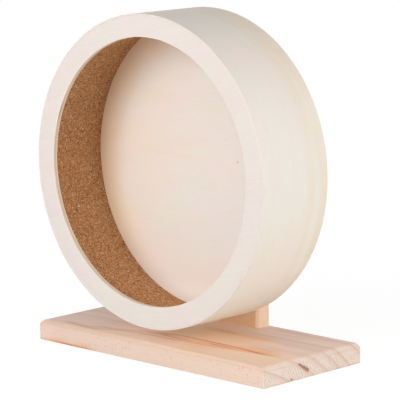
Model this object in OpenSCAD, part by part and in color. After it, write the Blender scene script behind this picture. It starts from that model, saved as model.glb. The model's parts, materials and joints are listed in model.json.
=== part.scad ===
// Rodent exercise wheel on a wooden stand, in millimetres.
// The origin is the centre of the base's underside. X runs along the base, Y from the open
// front of the drum back to the upright, and Z up. The drum hangs from one side only: its
// bolt is held fast in a block behind the closed panel and turns in two ball bearings.

/* [Drum] */
// Outside diameter of the drum
wheel_d = 280; // [250:1:300]
// Width of the drum, from the ring's front face to the rear edge
wheel_w = 82; // [70:1:90]
// Diameter of the opening in the front ring
opening_d = 239; // [200:1:240]
// Thickness of the front ring's plywood
ring_t = 4.5; // [3:0.5:6]
// Thickness of the bent strip round the drum
band_t = 1.5; // [1.2:0.1:2]
// Thickness of the cork that the animal runs on
cork_t = 6; // [3:0.5:7]
// Thickness of the closed back panel's plywood
panel_t = 4.5; // [3:0.5:6]
// How far the bent strip stands proud behind the back panel
rear_lip = 6; // [2:0.5:10]

/* [Stand] */
// Length of the base board
base_l = 282; // [240:1:320]
// Depth of the base board, front to back
base_w = 127; // [120:1:150]
// Thickness of the base board
base_t = 18.5; // [16:0.5:22]
// Chamfer along the base board's upper edges
base_chamfer = 3; // [1:0.5:4]
// Width of the upright
upright_w = 70; // [64:1:90]
// Thickness of the upright, which holds both bearings
upright_t = 16; // [16:0.5:20]
// Chamfer along the upright's front, side and top edges
upright_chamfer = 2.6; // [1:0.2:3.4]
// Softening of the upright's rear edges, which have no chamfer
upright_rear_ease = 0.6; // [0.2:0.2:2.6]
// Distance from the upright's back face to the base board's rear edge
upright_setback = 3.5; // [3:0.5:6]
// Height of the upright above the axle
upright_top = 32; // [20:1:45]
// Free height between the drum and the base board
ground_gap = 12.5; // [8:0.5:20]

/* [Hub] */
// Diameter of the block behind the back panel
hub_d = 80; // [60:1:110]
// Thickness of the block behind the back panel
hub_t = 18; // [16:0.5:24]
// Depth of the hexagonal pocket that holds the bolt's head
pocket_depth = 7.5; // [6:0.5:9]
// Length of the axle bolt under its head
bolt_l = 50; // [50:1:56]
// Length of the sleeve between the hub nut and the front bearing
sleeve_l = 3.4; // [2.5:0.1:5]

/* [Fixings] */
// Length of the screws through the base board into the upright
screw_l = 50; // [40:5:60]
// Distance of each screw from the middle of the upright
screw_x = 12; // [10:1:14]
// Length of the dowels between the base board and the upright
dowel_l = 30; // [24:1:34]
// Distance of each dowel from the middle of the upright
dowel_x = 25; // [24:1:26]

/* [Hidden] */
$fn = 96;

pine = [0.92, 0.78, 0.64];
pale_plywood = [0.95, 0.89, 0.81];
cork_brown = [0.70, 0.49, 0.31];
beech = [0.84, 0.69, 0.53];
zinc = [0.74, 0.75, 0.77];
bearing_steel = [0.62, 0.63, 0.65];
white_nylon = [0.90, 0.90, 0.86];

glue_line = 0.05;
turning_fit = 0.02;
past = 1;

// Ball bearing of 8 x 22 x 7
bearing_bore_r = 4;
bearing_outer_r = 11;
bearing_w = 7;
ball_r = 1.985;
ball_count = 7;
ball_pitch_r = 7.5;
ball_play = 0.015;
groove_r = 2.06;
inner_land_r = 6.05;
outer_land_r = 9;
shield_seat_r = 9.6;
shield_seat_depth = 0.9;
shield_t = 0.3;
shield_inner_r = 6.35;
shield_lip = 0.45;
cage_sheet_t = 0.4;
cage_width = 1.5;
cage_pocket_r = 2.06;
race_edge = 0.3;

// Bolt, nuts and washers for an 8 mm thread
bolt_r = bearing_bore_r - turning_fit;
bolt_hole_r = 4.1;
hex_af = 13;
bolt_head_h = 5.3;
bolt_point = 0.8;
hub_nut_h = 6.5;
lock_nut_h = 8;
lock_hex_h = 5.8;
lock_collar_r = 5.9;
insert_r = 5.2;
insert_h = 1.7;
insert_mouth_r = 4.7;
crimp_h = 0.4;
washer_t = 1.6;
hub_washer_r = 12;
rear_washer_r = 8;
inner_ring_contact_r = 5.75;
shim_t = 1;
hex_clearance = 0.2;
hex_face_share = 0.94;

// Countersunk wood screw and dowel
screw_r = 2.25;
screw_head_r = 4.3;
screw_head_edge = 0.4;
screw_head_h = 2.6;
screw_tip_l = 6;
screw_sink = 0.5;
recess_l = 4.6;
recess_w = 0.9;
recess_depth = 1.9;
dowel_r = 4;
dowel_edge = 0.8;
dowel_in_base = 10;
hole_play = 0.02;
blind_play = 0.5;

edge_ease = 0.4;
hub_edge = 2;
cork_seam_angle = 0.2;

wheel_r = wheel_d / 2;
band_inner_r = wheel_r - band_t;
lining_r = band_inner_r - glue_line;
tread_r = band_inner_r - cork_t;
axle_h = base_t + ground_gap + wheel_r;
upright_rear_y = base_w / 2 - upright_setback;
upright_front_y = upright_rear_y - upright_t;
upright_h = axle_h + upright_top - base_t;
hub_nut_y = upright_front_y - sleeve_l - hub_nut_h;
hub_washer_y = hub_nut_y - washer_t;
hub_y = hub_washer_y - hub_t;
panel_y = hub_y - panel_t;
wheel_rear_y = hub_y + rear_lip;
wheel_front_y = wheel_rear_y - wheel_w;
cork_front_y = wheel_front_y + ring_t;
bolt_seat_y = hub_y + pocket_depth;
rear_bearing_y = upright_rear_y - bearing_w;
spacer_y = upright_front_y + bearing_w;
spacer_l = rear_bearing_y - spacer_y;
rear_washer_y = upright_rear_y + shim_t;
lock_nut_y = rear_washer_y + washer_t;

// Lays a piece drawn along +Z on the axle, with its zero at y
module on_axle(y) {
    translate([0, y, axle_h])
        rotate([-90, 0, 0])
            children();
}

// A flat or long ring whose outer and inner edges are eased by their own amounts
module turned_ring(outer_r, inner_r, length, outer_ease = 0, inner_ease = 0) {
    rotate_extrude()
        polygon([
            [inner_r + inner_ease, 0],
            [outer_r - outer_ease, 0],
            [outer_r, outer_ease],
            [outer_r, length - outer_ease],
            [outer_r - outer_ease, length],
            [inner_r + inner_ease, length],
            [inner_r, length - inner_ease],
            [inner_r, inner_ease]
        ]);
}

// The outline of a board's section with its two upper corners cut off
module chamfered_section(width, height, left_cut, right_cut) {
    polygon([
        [-width / 2, 0],
        [width / 2, 0],
        [width / 2, height - right_cut],
        [width / 2 - right_cut, height],
        [-width / 2 + left_cut, height],
        [-width / 2, height - left_cut]
    ]);
}

// A standing section drawn in X and Z, drawn out along Y about the middle
module along_y(length) {
    translate([0, length / 2, 0])
        rotate([90, 0, 0])
            linear_extrude(length)
                children();
}

// A standing section drawn in Y and Z, drawn out along X about the middle
module along_x(length) {
    rotate([0, 0, 90])
        along_y(length)
            children();
}

// A hexagon across its flats, its corners turned down at the far end
module hexagon(across_flats, height) {
    corner_r = across_flats / 2 / cos(30);
    flat_r = across_flats / 2 * hex_face_share;
    turned_r = corner_r + past;
    turned_drop = (turned_r - flat_r) * tan(30);
    intersection() {
        cylinder(r = corner_r, h = height, $fn = 6);
        rotate_extrude()
            polygon([
                [0, 0],
                [turned_r, 0],
                [turned_r, height - turned_drop],
                [flat_r, height],
                [0, height]
            ]);
    }
}

// Holes on both sides of the middle, at x on the upright's centre line
module pair_at(x) {
    for (side = [-1, 1])
        translate([side * x, (upright_front_y + upright_rear_y) / 2, 0])
            children();
}

// The space that a screw takes in the base board, grown by play
module screw_hole(play) {
    rotate_extrude()
        polygon([
            [0, -past],
            [screw_head_r + play, -past],
            [screw_head_r + play, screw_sink + screw_head_edge],
            [screw_r + play, screw_sink + screw_head_h],
            [screw_r + play, screw_sink + screw_l + blind_play],
            [0, screw_sink + screw_l + blind_play]
        ]);
}

// The round hole for a dowel, from inside the base board up into the upright
module dowel_hole() {
    translate([0, 0, base_t - dowel_in_base - blind_play])
        cylinder(r = dowel_r + hole_play, h = dowel_l + 2 * blind_play);
}

module base_board() {
    color(pine)
        difference() {
            intersection() {
                along_y(base_w)
                    chamfered_section(base_l, base_t, base_chamfer, base_chamfer);
                along_x(base_l)
                    chamfered_section(base_w, base_t, base_chamfer, base_chamfer);
            }
            pair_at(screw_x)
                screw_hole(hole_play);
            pair_at(dowel_x)
                dowel_hole();
        }
}

module upright() {
    middle_y = (upright_front_y + upright_rear_y) / 2;
    lip_r = outer_land_r;
    color(pine)
        difference() {
            translate([0, middle_y, base_t])
                intersection() {
                    along_y(upright_t)
                        chamfered_section(upright_w, upright_h, upright_chamfer, upright_chamfer);
                    along_x(upright_w)
                        chamfered_section(upright_t, upright_h, upright_chamfer, upright_rear_ease);
                    upright_plan();
                }
            on_axle(upright_front_y - past)
                cylinder(r = lip_r, h = upright_t + 2 * past);
            on_axle(upright_front_y - past)
                cylinder(r = bearing_outer_r + turning_fit, h = bearing_w + past);
            on_axle(rear_bearing_y)
                cylinder(r = bearing_outer_r + turning_fit, h = bearing_w + past);
            pair_at(screw_x)
                screw_hole(hole_play);
            pair_at(dowel_x)
                dowel_hole();
        }
}

// The upright seen from above, its front edges cut off and its rear edges softened
module upright_plan() {
    half_w = upright_w / 2;
    half_t = upright_t / 2;
    cut = upright_chamfer;
    ease = upright_rear_ease;
    linear_extrude(upright_h)
        polygon([
            [-half_w + cut, -half_t], [half_w - cut, -half_t],
            [half_w, -half_t + cut], [half_w, half_t - ease],
            [half_w - ease, half_t], [-half_w + ease, half_t],
            [-half_w, half_t - ease], [-half_w, -half_t + cut]
        ]);
}

module stand_screws() {
    color(zinc)
        pair_at(screw_x)
            translate([0, 0, screw_sink])
                wood_screw();
}

// A countersunk wood screw that points up, with a cross recess in its head
module wood_screw() {
    difference() {
        rotate_extrude()
            polygon([
                [0, 0],
                [screw_head_r, 0],
                [screw_head_r, screw_head_edge],
                [screw_r, screw_head_h],
                [screw_r, screw_l - screw_tip_l],
                [0, screw_l]
            ]);
        for (turn = [0, 90])
            rotate([0, 0, turn])
                translate([-recess_l / 2, -recess_w / 2, -past])
                    cube([recess_l, recess_w, recess_depth + past]);
    }
}

module stand_dowels() {
    color(beech)
        pair_at(dowel_x)
            translate([0, 0, base_t - dowel_in_base])
                rotate_extrude()
                    polygon([
                        [0, 0],
                        [dowel_r - dowel_edge, 0],
                        [dowel_r, dowel_edge],
                        [dowel_r, dowel_l - dowel_edge],
                        [dowel_r - dowel_edge, dowel_l],
                        [0, dowel_l]
                    ]);
}

module front_ring() {
    color(pale_plywood)
        on_axle(wheel_front_y)
            turned_ring(lining_r, opening_d / 2, ring_t, 0, edge_ease);
}

module rim_band() {
    color(pale_plywood)
        on_axle(wheel_front_y)
            turned_ring(wheel_r, band_inner_r, wheel_w, edge_ease, 0);
}

// The cork strip between the ring and the panel, with the butt joint of its two ends
module cork_tread() {
    color(cork_brown)
        on_axle(cork_front_y)
            rotate([0, 0, cork_seam_angle / 2])
                rotate_extrude(angle = 360 - cork_seam_angle)
                    translate([tread_r, 0])
                        square([lining_r - tread_r, panel_y - cork_front_y]);
}

module back_panel() {
    color(pale_plywood)
        on_axle(panel_y)
            cylinder(r = lining_r, h = panel_t);
}

module hub_block() {
    pocket_af = hex_af + hex_clearance;
    color(beech)
        on_axle(hub_y)
            difference() {
                rotate_extrude()
                    polygon([
                        [0, 0],
                        [hub_d / 2, 0],
                        [hub_d / 2, hub_t - hub_edge],
                        [hub_d / 2 - hub_edge, hub_t],
                        [0, hub_t]
                    ]);
                translate([0, 0, -past])
                    cylinder(r = pocket_af / 2 / cos(30), h = pocket_depth + past, $fn = 6);
                cylinder(r = bolt_hole_r, h = hub_t + past);
            }
}

// A hexagon-head bolt, its head towards the panel and its point chamfered
module axle_bolt() {
    color(zinc)
        on_axle(bolt_seat_y) {
            mirror([0, 0, 1])
                hexagon(hex_af, bolt_head_h);
            rotate_extrude()
                polygon([
                    [0, -past],
                    [bolt_r, -past],
                    [bolt_r, bolt_l - bolt_point],
                    [bolt_r - bolt_point, bolt_l],
                    [0, bolt_l]
                ]);
        }
}

module hub_washer() {
    color(zinc)
        on_axle(hub_washer_y)
            turned_ring(hub_washer_r, bolt_hole_r, washer_t, edge_ease / 2, 0);
}

module hub_nut() {
    color(zinc)
        on_axle(hub_nut_y)
            difference() {
                hexagon(hex_af, hub_nut_h);
                translate([0, 0, -past])
                    cylinder(r = bearing_bore_r, h = hub_nut_h + 2 * past);
            }
}

module front_sleeve() {
    color(zinc)
        on_axle(upright_front_y - sleeve_l)
            turned_ring(inner_ring_contact_r, bearing_bore_r, sleeve_l);
}

module front_bearing_outer_race() {
    on_axle(upright_front_y)
        outer_race();
}

module rear_bearing_outer_race() {
    on_axle(rear_bearing_y)
        outer_race();
}

module front_bearing_inner_race() {
    on_axle(upright_front_y)
        inner_race();
}

module rear_bearing_inner_race() {
    on_axle(rear_bearing_y)
        inner_race();
}

module front_bearing_shields() {
    on_axle(upright_front_y)
        both_shields();
}

module rear_bearing_shields() {
    on_axle(rear_bearing_y)
        both_shields();
}

module front_bearing_cage() {
    on_axle(upright_front_y)
        ball_cage();
}

module rear_bearing_cage() {
    on_axle(rear_bearing_y)
        ball_cage();
}

module front_bearing_balls() {
    on_axle(upright_front_y)
        ball_set();
}

module rear_bearing_balls() {
    on_axle(rear_bearing_y)
        ball_set();
}

// The outer ring of a bearing: a grooved track, and a seat for a shield at each end
module outer_race() {
    groove_centre_r = ball_pitch_r + ball_r + ball_play - groove_r;
    color(bearing_steel)
        rotate_extrude()
            difference() {
                polygon([
                    [outer_land_r, 0],
                    [bearing_outer_r - race_edge, 0],
                    [bearing_outer_r, race_edge],
                    [bearing_outer_r, bearing_w - race_edge],
                    [bearing_outer_r - race_edge, bearing_w],
                    [outer_land_r, bearing_w]
                ]);
                translate([groove_centre_r, bearing_w / 2])
                    circle(r = groove_r);
                for (start = [-past, bearing_w - shield_seat_depth])
                    translate([outer_land_r - past, start])
                        square([shield_seat_r - outer_land_r + past, shield_seat_depth + past]);
            }
}

// The inner ring of a bearing, with its grooved track
module inner_race() {
    groove_centre_r = ball_pitch_r - ball_r - ball_play + groove_r;
    color(bearing_steel)
        rotate_extrude()
            difference() {
                polygon([
                    [bearing_bore_r + race_edge, 0],
                    [inner_land_r, 0],
                    [inner_land_r, bearing_w],
                    [bearing_bore_r + race_edge, bearing_w],
                    [bearing_bore_r, bearing_w - race_edge],
                    [bearing_bore_r, race_edge]
                ]);
                translate([groove_centre_r, bearing_w / 2])
                    circle(r = groove_r);
            }
}

// The two pressed shields of a bearing, each a thin disc with a turned-out rim
module both_shields() {
    color(zinc) {
        shield();
        translate([0, 0, bearing_w])
            mirror([0, 0, 1])
                shield();
    }
}

module shield() {
    rim_r = shield_seat_r - turning_fit;
    rotate_extrude()
        polygon([
            [shield_inner_r, shield_seat_depth - shield_t],
            [rim_r - shield_t, shield_seat_depth - shield_t],
            [rim_r - shield_t, shield_seat_depth - shield_t - shield_lip],
            [rim_r, shield_seat_depth - shield_t - shield_lip],
            [rim_r, shield_seat_depth],
            [shield_inner_r, shield_seat_depth]
        ]);
}

// A flat band round the balls' pitch circle, about the bearing's middle
module cage_band(height) {
    translate([0, 0, (bearing_w - height) / 2])
        difference() {
            cylinder(r = ball_pitch_r + cage_width / 2, h = height);
            translate([0, 0, -past])
                cylinder(r = ball_pitch_r - cage_width / 2, h = height + 2 * past);
        }
}

// What is drawn about a ball's centre, at each ball's place, with its Z pointing outwards
module at_balls() {
    for (i = [0 : ball_count - 1])
        rotate([0, 0, i * 360 / ball_count])
            translate([ball_pitch_r, 0, bearing_w / 2])
                rotate([0, 90, 0])
                    children();
}

// The ribbon cage: two sheets that lie together between the balls and part round each one
module ball_cage() {
    color(zinc)
        difference() {
            union() {
                cage_band(2 * cage_sheet_t);
                intersection() {
                    cage_band(bearing_w - 2 * shield_seat_depth);
                    at_balls()
                        cylinder(r = cage_pocket_r + cage_sheet_t, h = 2 * cage_width, center = true);
                }
            }
            at_balls()
                cylinder(r = cage_pocket_r, h = 2 * cage_width, center = true);
        }
}

module ball_set() {
    color(bearing_steel)
        at_balls()
            sphere(r = ball_r);
}

module bearing_spacer() {
    color(zinc)
        on_axle(spacer_y)
            turned_ring(inner_ring_contact_r, bearing_bore_r, spacer_l);
}

module rear_shim() {
    color(zinc)
        on_axle(upright_rear_y)
            turned_ring(inner_ring_contact_r, bearing_bore_r, shim_t);
}

module rear_washer() {
    color(zinc)
        on_axle(rear_washer_y)
            turned_ring(rear_washer_r, bolt_hole_r, washer_t, edge_ease / 2, 0);
}

// The locking nut: a hexagon with a round collar that is crimped over the insert
module lock_nut() {
    seat = lock_nut_h - crimp_h - insert_h;
    color(zinc)
        on_axle(lock_nut_y)
            difference() {
                union() {
                    hexagon(hex_af, lock_hex_h);
                    rotate_extrude()
                        polygon([
                            [0, 0],
                            [lock_collar_r, 0],
                            [lock_collar_r, lock_nut_h - crimp_h],
                            [lock_collar_r - crimp_h, lock_nut_h],
                            [0, lock_nut_h]
                        ]);
                }
                translate([0, 0, -past])
                    cylinder(r = bearing_bore_r, h = lock_nut_h);
                translate([0, 0, seat])
                    cylinder(r = insert_r, h = insert_h);
                translate([0, 0, seat])
                    cylinder(r = insert_mouth_r, h = lock_nut_h);
            }
}

module lock_nut_insert() {
    color(white_nylon)
        on_axle(lock_nut_y + lock_nut_h - crimp_h - insert_h)
            turned_ring(insert_r - turning_fit, bearing_bore_r, insert_h);
}

base_board();
upright();
stand_screws();
stand_dowels();
front_ring();
rim_band();
cork_tread();
back_panel();
hub_block();
axle_bolt();
hub_washer();
hub_nut();
front_sleeve();
front_bearing_outer_race();
front_bearing_inner_race();
front_bearing_shields();
front_bearing_cage();
front_bearing_balls();
bearing_spacer();
rear_bearing_outer_race();
rear_bearing_inner_race();
rear_bearing_shields();
rear_bearing_cage();
rear_bearing_balls();
rear_shim();
rear_washer();
lock_nut();
lock_nut_insert();
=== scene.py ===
import json
import math

import bmesh
import bpy
import numpy as np
from mathutils import Matrix, Vector
from mathutils.geometry import delaunay_2d_cdt


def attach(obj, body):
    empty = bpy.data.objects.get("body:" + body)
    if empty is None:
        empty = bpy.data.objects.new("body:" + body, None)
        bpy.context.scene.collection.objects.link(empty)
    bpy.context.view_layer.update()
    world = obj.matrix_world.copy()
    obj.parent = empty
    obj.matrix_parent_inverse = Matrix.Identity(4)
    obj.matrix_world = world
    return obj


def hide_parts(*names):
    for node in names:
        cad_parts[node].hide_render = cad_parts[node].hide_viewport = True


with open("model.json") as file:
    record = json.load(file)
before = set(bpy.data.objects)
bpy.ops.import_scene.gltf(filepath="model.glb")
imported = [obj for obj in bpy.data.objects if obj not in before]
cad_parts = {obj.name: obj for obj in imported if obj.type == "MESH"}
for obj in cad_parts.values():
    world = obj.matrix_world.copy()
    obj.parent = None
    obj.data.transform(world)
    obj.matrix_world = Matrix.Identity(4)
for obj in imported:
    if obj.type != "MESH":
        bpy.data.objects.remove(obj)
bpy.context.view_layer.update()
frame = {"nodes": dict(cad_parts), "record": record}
nodes = frame["nodes"]
scene = bpy.context.scene
mm = 0.001
axleHeight = 171 * mm
past = 2  # how far a cutter reaches beyond what it cuts, in millimetres
print("frame loaded:", len(nodes), "nodes")

# Where the pieces begin and end along the axle, in millimetres
station = {
    "wheelFront": -61.5,
    "corkFront": -57.0,
    "panelFront": 10.0,
    "hubFront": 14.5,
    "headFront": 16.7,
    "wheelRear": 20.5,
    "headRear": 22.0,
    "hubRear": 32.5,
    "hubNutFront": 34.1,
    "sleeveFront": 40.6,
    "uprightFront": 44.0,
    "spacerFront": 51.0,
    "spacerRear": 53.0,
    "uprightRear": 60.0,
    "washerFront": 61.0,
    "lockNutFront": 62.6,
    "boltEnd": 72.0,
}

# Camera, lamps and floor

camera = {
    "place": (1.46559, -1.50707, 0.50062),
    "yaw": 0.7693,
    "pitch": -0.1704,
    "roll": -0.009,
    "lens": 213.64,
    "sensor": 36,
    "clip": (0.05, 50),
}

# Each lamp: its direction round the object from the front, its height angle, its power
lamps = {
    "front": (0, 12, 42),
    "frontHigh": (20, 45, 9.5),
    "right": (90, 12, 34.5),
    "rearRight": (135, 12, 5),
    "rear": (180, 15, 22),
    "rearLeft": (-135, 20, 7),
    "left": (-90, 12, 10),
}

studio = {
    "ambient": 0.10,
    "lampDistance": 2.4,
    "lampSize": 1.5,
    "aim": (0, 0, 0.16),
    "floorSize": 12,
    "floorDrop": 0.0002,
    "floorColour": (0.86, 0.86, 0.86),
    "floorGlow": 0.86,
    "floorShadowShare": 0.22,
    "shadowReach": 0.55,
}


def heading(turn, rise):
    # The unit vector that looks along +Y, turned to the left and raised
    return Vector((-math.sin(turn) * math.cos(rise), math.cos(turn) * math.cos(rise), math.sin(rise)))


def addThing(name, data, place, axes):
    thing = bpy.data.objects.new(name, data)
    thing.matrix_world = Matrix.Translation(place) @ axes
    scene.collection.objects.link(thing)
    return thing


def addCamera():
    yaw, roll = camera["yaw"], camera["roll"]
    forward = heading(yaw, camera["pitch"])
    level = Vector((math.cos(yaw), math.sin(yaw), 0))
    raised = level.cross(forward)
    right = level * math.cos(roll) + raised * math.sin(roll)
    up = raised * math.cos(roll) - level * math.sin(roll)
    data = bpy.data.cameras.new("photoCamera")
    data.sensor_width = camera["sensor"]
    data.lens = camera["lens"]
    data.clip_start, data.clip_end = camera["clip"]
    axes = Matrix((right, up, -forward)).transposed().to_4x4()
    scene.camera = addThing("photoCamera", data, camera["place"], axes)


def addLamps():
    for name, (azimuth, elevation, power) in lamps.items():
        direction = heading(math.radians(azimuth) + math.pi, math.radians(elevation))
        data = bpy.data.lights.new(name, "AREA")
        data.shape = "SQUARE"
        data.size = studio["lampSize"]
        data.energy = power
        place = Vector(studio["aim"]) + direction * studio["lampDistance"]
        addThing(name, data, place, (-direction).to_track_quat("-Z", "Y").to_matrix().to_4x4())


# Node helpers. They add to the node tree that is being worked on.

work = {"tree": None}


def setInput(node, key, value):
    socket = node.inputs[key]
    if isinstance(value, bpy.types.NodeSocket):
        work["tree"].links.new(value, socket)
    elif socket.type == "RGBA":
        socket.default_value = (*value[:3], 1)
    else:
        socket.default_value = value


def addNode(kind, inputs=None, **settings):
    node = work["tree"].nodes.new(kind)
    for name, value in settings.items():
        setattr(node, name, value)
    for key, value in (inputs or {}).items():
        setInput(node, key, value)
    return node


def calc(operation, *values):
    return addNode("ShaderNodeMath", dict(enumerate(values)), operation=operation).outputs[0]


def plus(first, second):
    return calc("ADD", first, second)


def minus(first, second):
    return calc("SUBTRACT", first, second)


def timesPlus(value, factor, offset):
    return calc("MULTIPLY_ADD", value, factor, offset)


def chain(operation, values):
    result = values[0]
    for value in values[1:]:
        result = calc(operation, result, value)
    return result


def times(*values):
    return chain("MULTIPLY", values)


def larger(*values):
    return chain("MAXIMUM", values)


def reach(first, second):
    # The length of a slope with these two sides
    return calc("SQRT", plus(times(first, first), times(second, second)))


def spread(value, low, high, newLow=0.0, newHigh=1.0):
    # A smooth step from newLow at low to newHigh at high
    inputs = {"Value": value, "From Min": low, "From Max": high, "To Min": newLow, "To Max": newHigh}
    return addNode("ShaderNodeMapRange", inputs, interpolation_type="SMOOTHSTEP").outputs["Result"]


def hump(value, middle, halfWidth, flat=0.0):
    # 1 up to flat from the middle, 0 past the half width
    return spread(calc("ABSOLUTE", minus(value, middle)), flat, halfWidth, 1.0, 0.0)


def within(fields, limits):
    # How far a point lies inside an area, 0 to 1. A limit is a field's name with the two values between
    # which the area fades in (and its strength at each), or with "about", a middle and a half width.
    # A name alone is that field, and a number is a strength.
    factors = []
    for limit in limits:
        if isinstance(limit, str):
            factors.append(fields[limit])
        elif isinstance(limit, float):
            factors.append(limit)
        elif limit[1] == "about":
            factors.append(hump(fields[limit[0]], *limit[2:]))
        else:
            factors.append(spread(fields[limit[0]], *limit[1:]))
    return times(*factors)


def areaFinder(fields, areas):
    # Gives a function that tells how far a point lies inside any of the named areas, 0 to 1
    return lambda *names: larger(*[within(fields, areas[name]) for name in names])


def blend(factor, first, second, mode="MIX"):
    inputs = {0: factor, 6: first, 7: second}
    settings = {"data_type": "RGBA", "blend_type": mode, "clamp_factor": True}
    return addNode("ShaderNodeMix", inputs, **settings).outputs[2]


def noise(vector, detail=2.0, roughness=0.5, distortion=0.0, scale=1.0):
    inputs = {"Vector": vector, "Scale": scale, "Detail": detail, "Roughness": roughness}
    return addNode("ShaderNodeTexNoise", {**inputs, "Distortion": distortion}).outputs[0]


def cells(vector, scale=1.0, **settings):
    inputs = {"Vector": vector, "Scale": scale, "Randomness": 1.0}
    return addNode("ShaderNodeTexVoronoi", inputs, **settings).outputs


def stretched(vector, scale, turn=0.0):
    # The vector at its own frequency along each axis, turned about Y by some degrees
    inputs = {"Vector": vector, "Scale": scale, "Rotation": (0, math.radians(turn), 0)}
    return addNode("ShaderNodeMapping", inputs).outputs[0]


def separate(vector):
    return tuple(addNode("ShaderNodeSeparateXYZ", {0: vector}).outputs)


def combine(x, y, z):
    return addNode("ShaderNodeCombineXYZ", {0: x, 1: y, 2: z}).outputs[0]


def fieldVector(fields, frequencies):
    # A vector of two or three fields, each at its own frequency
    values = [times(field, frequency) for field, frequency in zip(fields, frequencies)]
    return combine(*values, *[0.0] * (3 - len(values)))


def vectorMath(operation, inputs):
    return addNode("ShaderNodeVectorMath", inputs, operation=operation).outputs[0]


def attribute(name, output="Fac"):
    return addNode("ShaderNodeAttribute", attribute_name=name).outputs[output]


def ramp(factor, stops):
    node = addNode("ShaderNodeValToRGB", {"Fac": factor})
    elements = node.color_ramp.elements
    while len(elements) < len(stops):
        elements.new(0.5)
    for element, (position, shade) in zip(elements, stops):
        element.position = position
        element.color = (shade, shade, shade, 1) if isinstance(shade, (int, float)) else (*shade, 1)
    return node.outputs[0]


def fromScreen(*levels):
    # A colour as a screen shows it, 0 to 255, to the linear values that shaders use
    def linear(value):
        return value / 12.92 if value <= 0.04045 else ((value + 0.055) / 1.055) ** 2.4
    return tuple(linear(level / 255) for level in levels)


def startTree(holder, outputKind):
    # Empties the tree of a material or the world, works on it from here and gives its output
    holder.use_nodes = True
    work["tree"] = holder.node_tree
    work["tree"].nodes.clear()
    return addNode(outputKind)


def startMaterial(name):
    material = bpy.data.materials.new(name)
    output = startTree(material, "ShaderNodeOutputMaterial")
    shader = addNode("ShaderNodeBsdfPrincipled")
    setInput(output, "Surface", shader.outputs[0])
    place = addNode("ShaderNodeTexCoord").outputs
    return material, shader, place["Object"], place["Normal"]


def setShader(shader, colour, roughness, height, depth, specular=0.3):
    relief = addNode("ShaderNodeBump", {"Height": height, "Distance": depth, "Strength": 1.0}).outputs[0]
    inputs = {"Base Color": colour, "Roughness": roughness, "Specular IOR Level": specular, "Normal": relief}
    for key, value in inputs.items():
        setInput(shader, key, value)


# Planed pine

boardPine = {
    "pith": (-0.123, -0.161),
    "rings": (0.1873, 0.2045, 0.2160, 0.2265, 0.2360, 0.2520),
    "ringSpan": (0.165, 0.262),
    "lateWidth": 0.0055,
    "pale": fromScreen(238, 208, 190),
    "side": fromScreen(223, 200, 184),
    "end": fromScreen(229, 215, 203),
    "late": fromScreen(204, 156, 128),
    "grey": fromScreen(220, 197, 182),
    "leftGrey": fromScreen(218, 197, 185),
    "strip": fromScreen(236, 206, 178),
    "stripLeft": fromScreen(248, 222, 202),
    "sheen": fromScreen(255, 222, 202),
    "glow": fromScreen(255, 228, 194),
    "glowRight": fromScreen(246, 212, 180),
    "amber": fromScreen(232, 184, 136),
    "resin": fromScreen(255, 220, 182),
    "resinRight": fromScreen(236, 182, 144),
    "resinTip": fromScreen(222, 168, 130),
    "resinLine": fromScreen(196, 122, 80),
    "lowResin": fromScreen(230, 176, 140),
    "leftEnd": fromScreen(230, 204, 189),
    "edge": fromScreen(228, 197, 171),
    "canal": fromScreen(186, 126, 94),
    "canalShare": 0.18,
    "fibreShare": 0.10,
    "ends": (0.40, 0.80),
    "faces": (0.6, 0.95),
    "broad": (5.0, 60.0),
    "lineWaver": (28.0, 60.0),
    "lineSwing": 0.003,
    "streaks": (16.0, 170.0),
    "strands": (12.0, 210.0),
    "pocket": fromScreen(200, 162, 144),
    "pocketDeep": fromScreen(158, 118, 102),
    "roughness": (0.62, 0.78),
    "relief": 0.00006,
}

# Growth lines on the board's top, each through a few places (x, y) in millimetres
boardLines = {
    "near": (
        (-128, -52.5), (-100, -53.5), (-76, -55), (-60, -47), (-36, -42), (-12, -40), (25, -37), (84, -32),
        (112, -27),
    ),
    "far": (
        (-92, -54), (-76, -47), (-55, -42), (-32, -32), (-12, -24), (15, -22), (66, -22), (97, -24.5),
        (112, -25.5),
    ),
    "high": ((-140, -23), (-115, -19), (-90, -20), (-40, -24)),
    "highest": ((-140, 0), (-116, -3), (-70, -6)),
}

# How each growth line shows: its half width, its soft shade and where along the board it is plain
lineShades = {
    "near": (0.0028, 0.009, (("x", -0.125, -0.108), ("x", -0.075, -0.030, 1.0, 0.3))),
    "far": (0.0026, 0.008, (("x", -0.092, -0.080), ("x", -0.070, -0.030, 0.8, 0.3))),
    "high": (0.0026, 0.008, (("x", -0.06, -0.03, 0.5, 0.0),)),
    "highest": (0.0026, 0.008, (("x", -0.06, -0.03, 0.5, 0.0),)),
}

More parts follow.
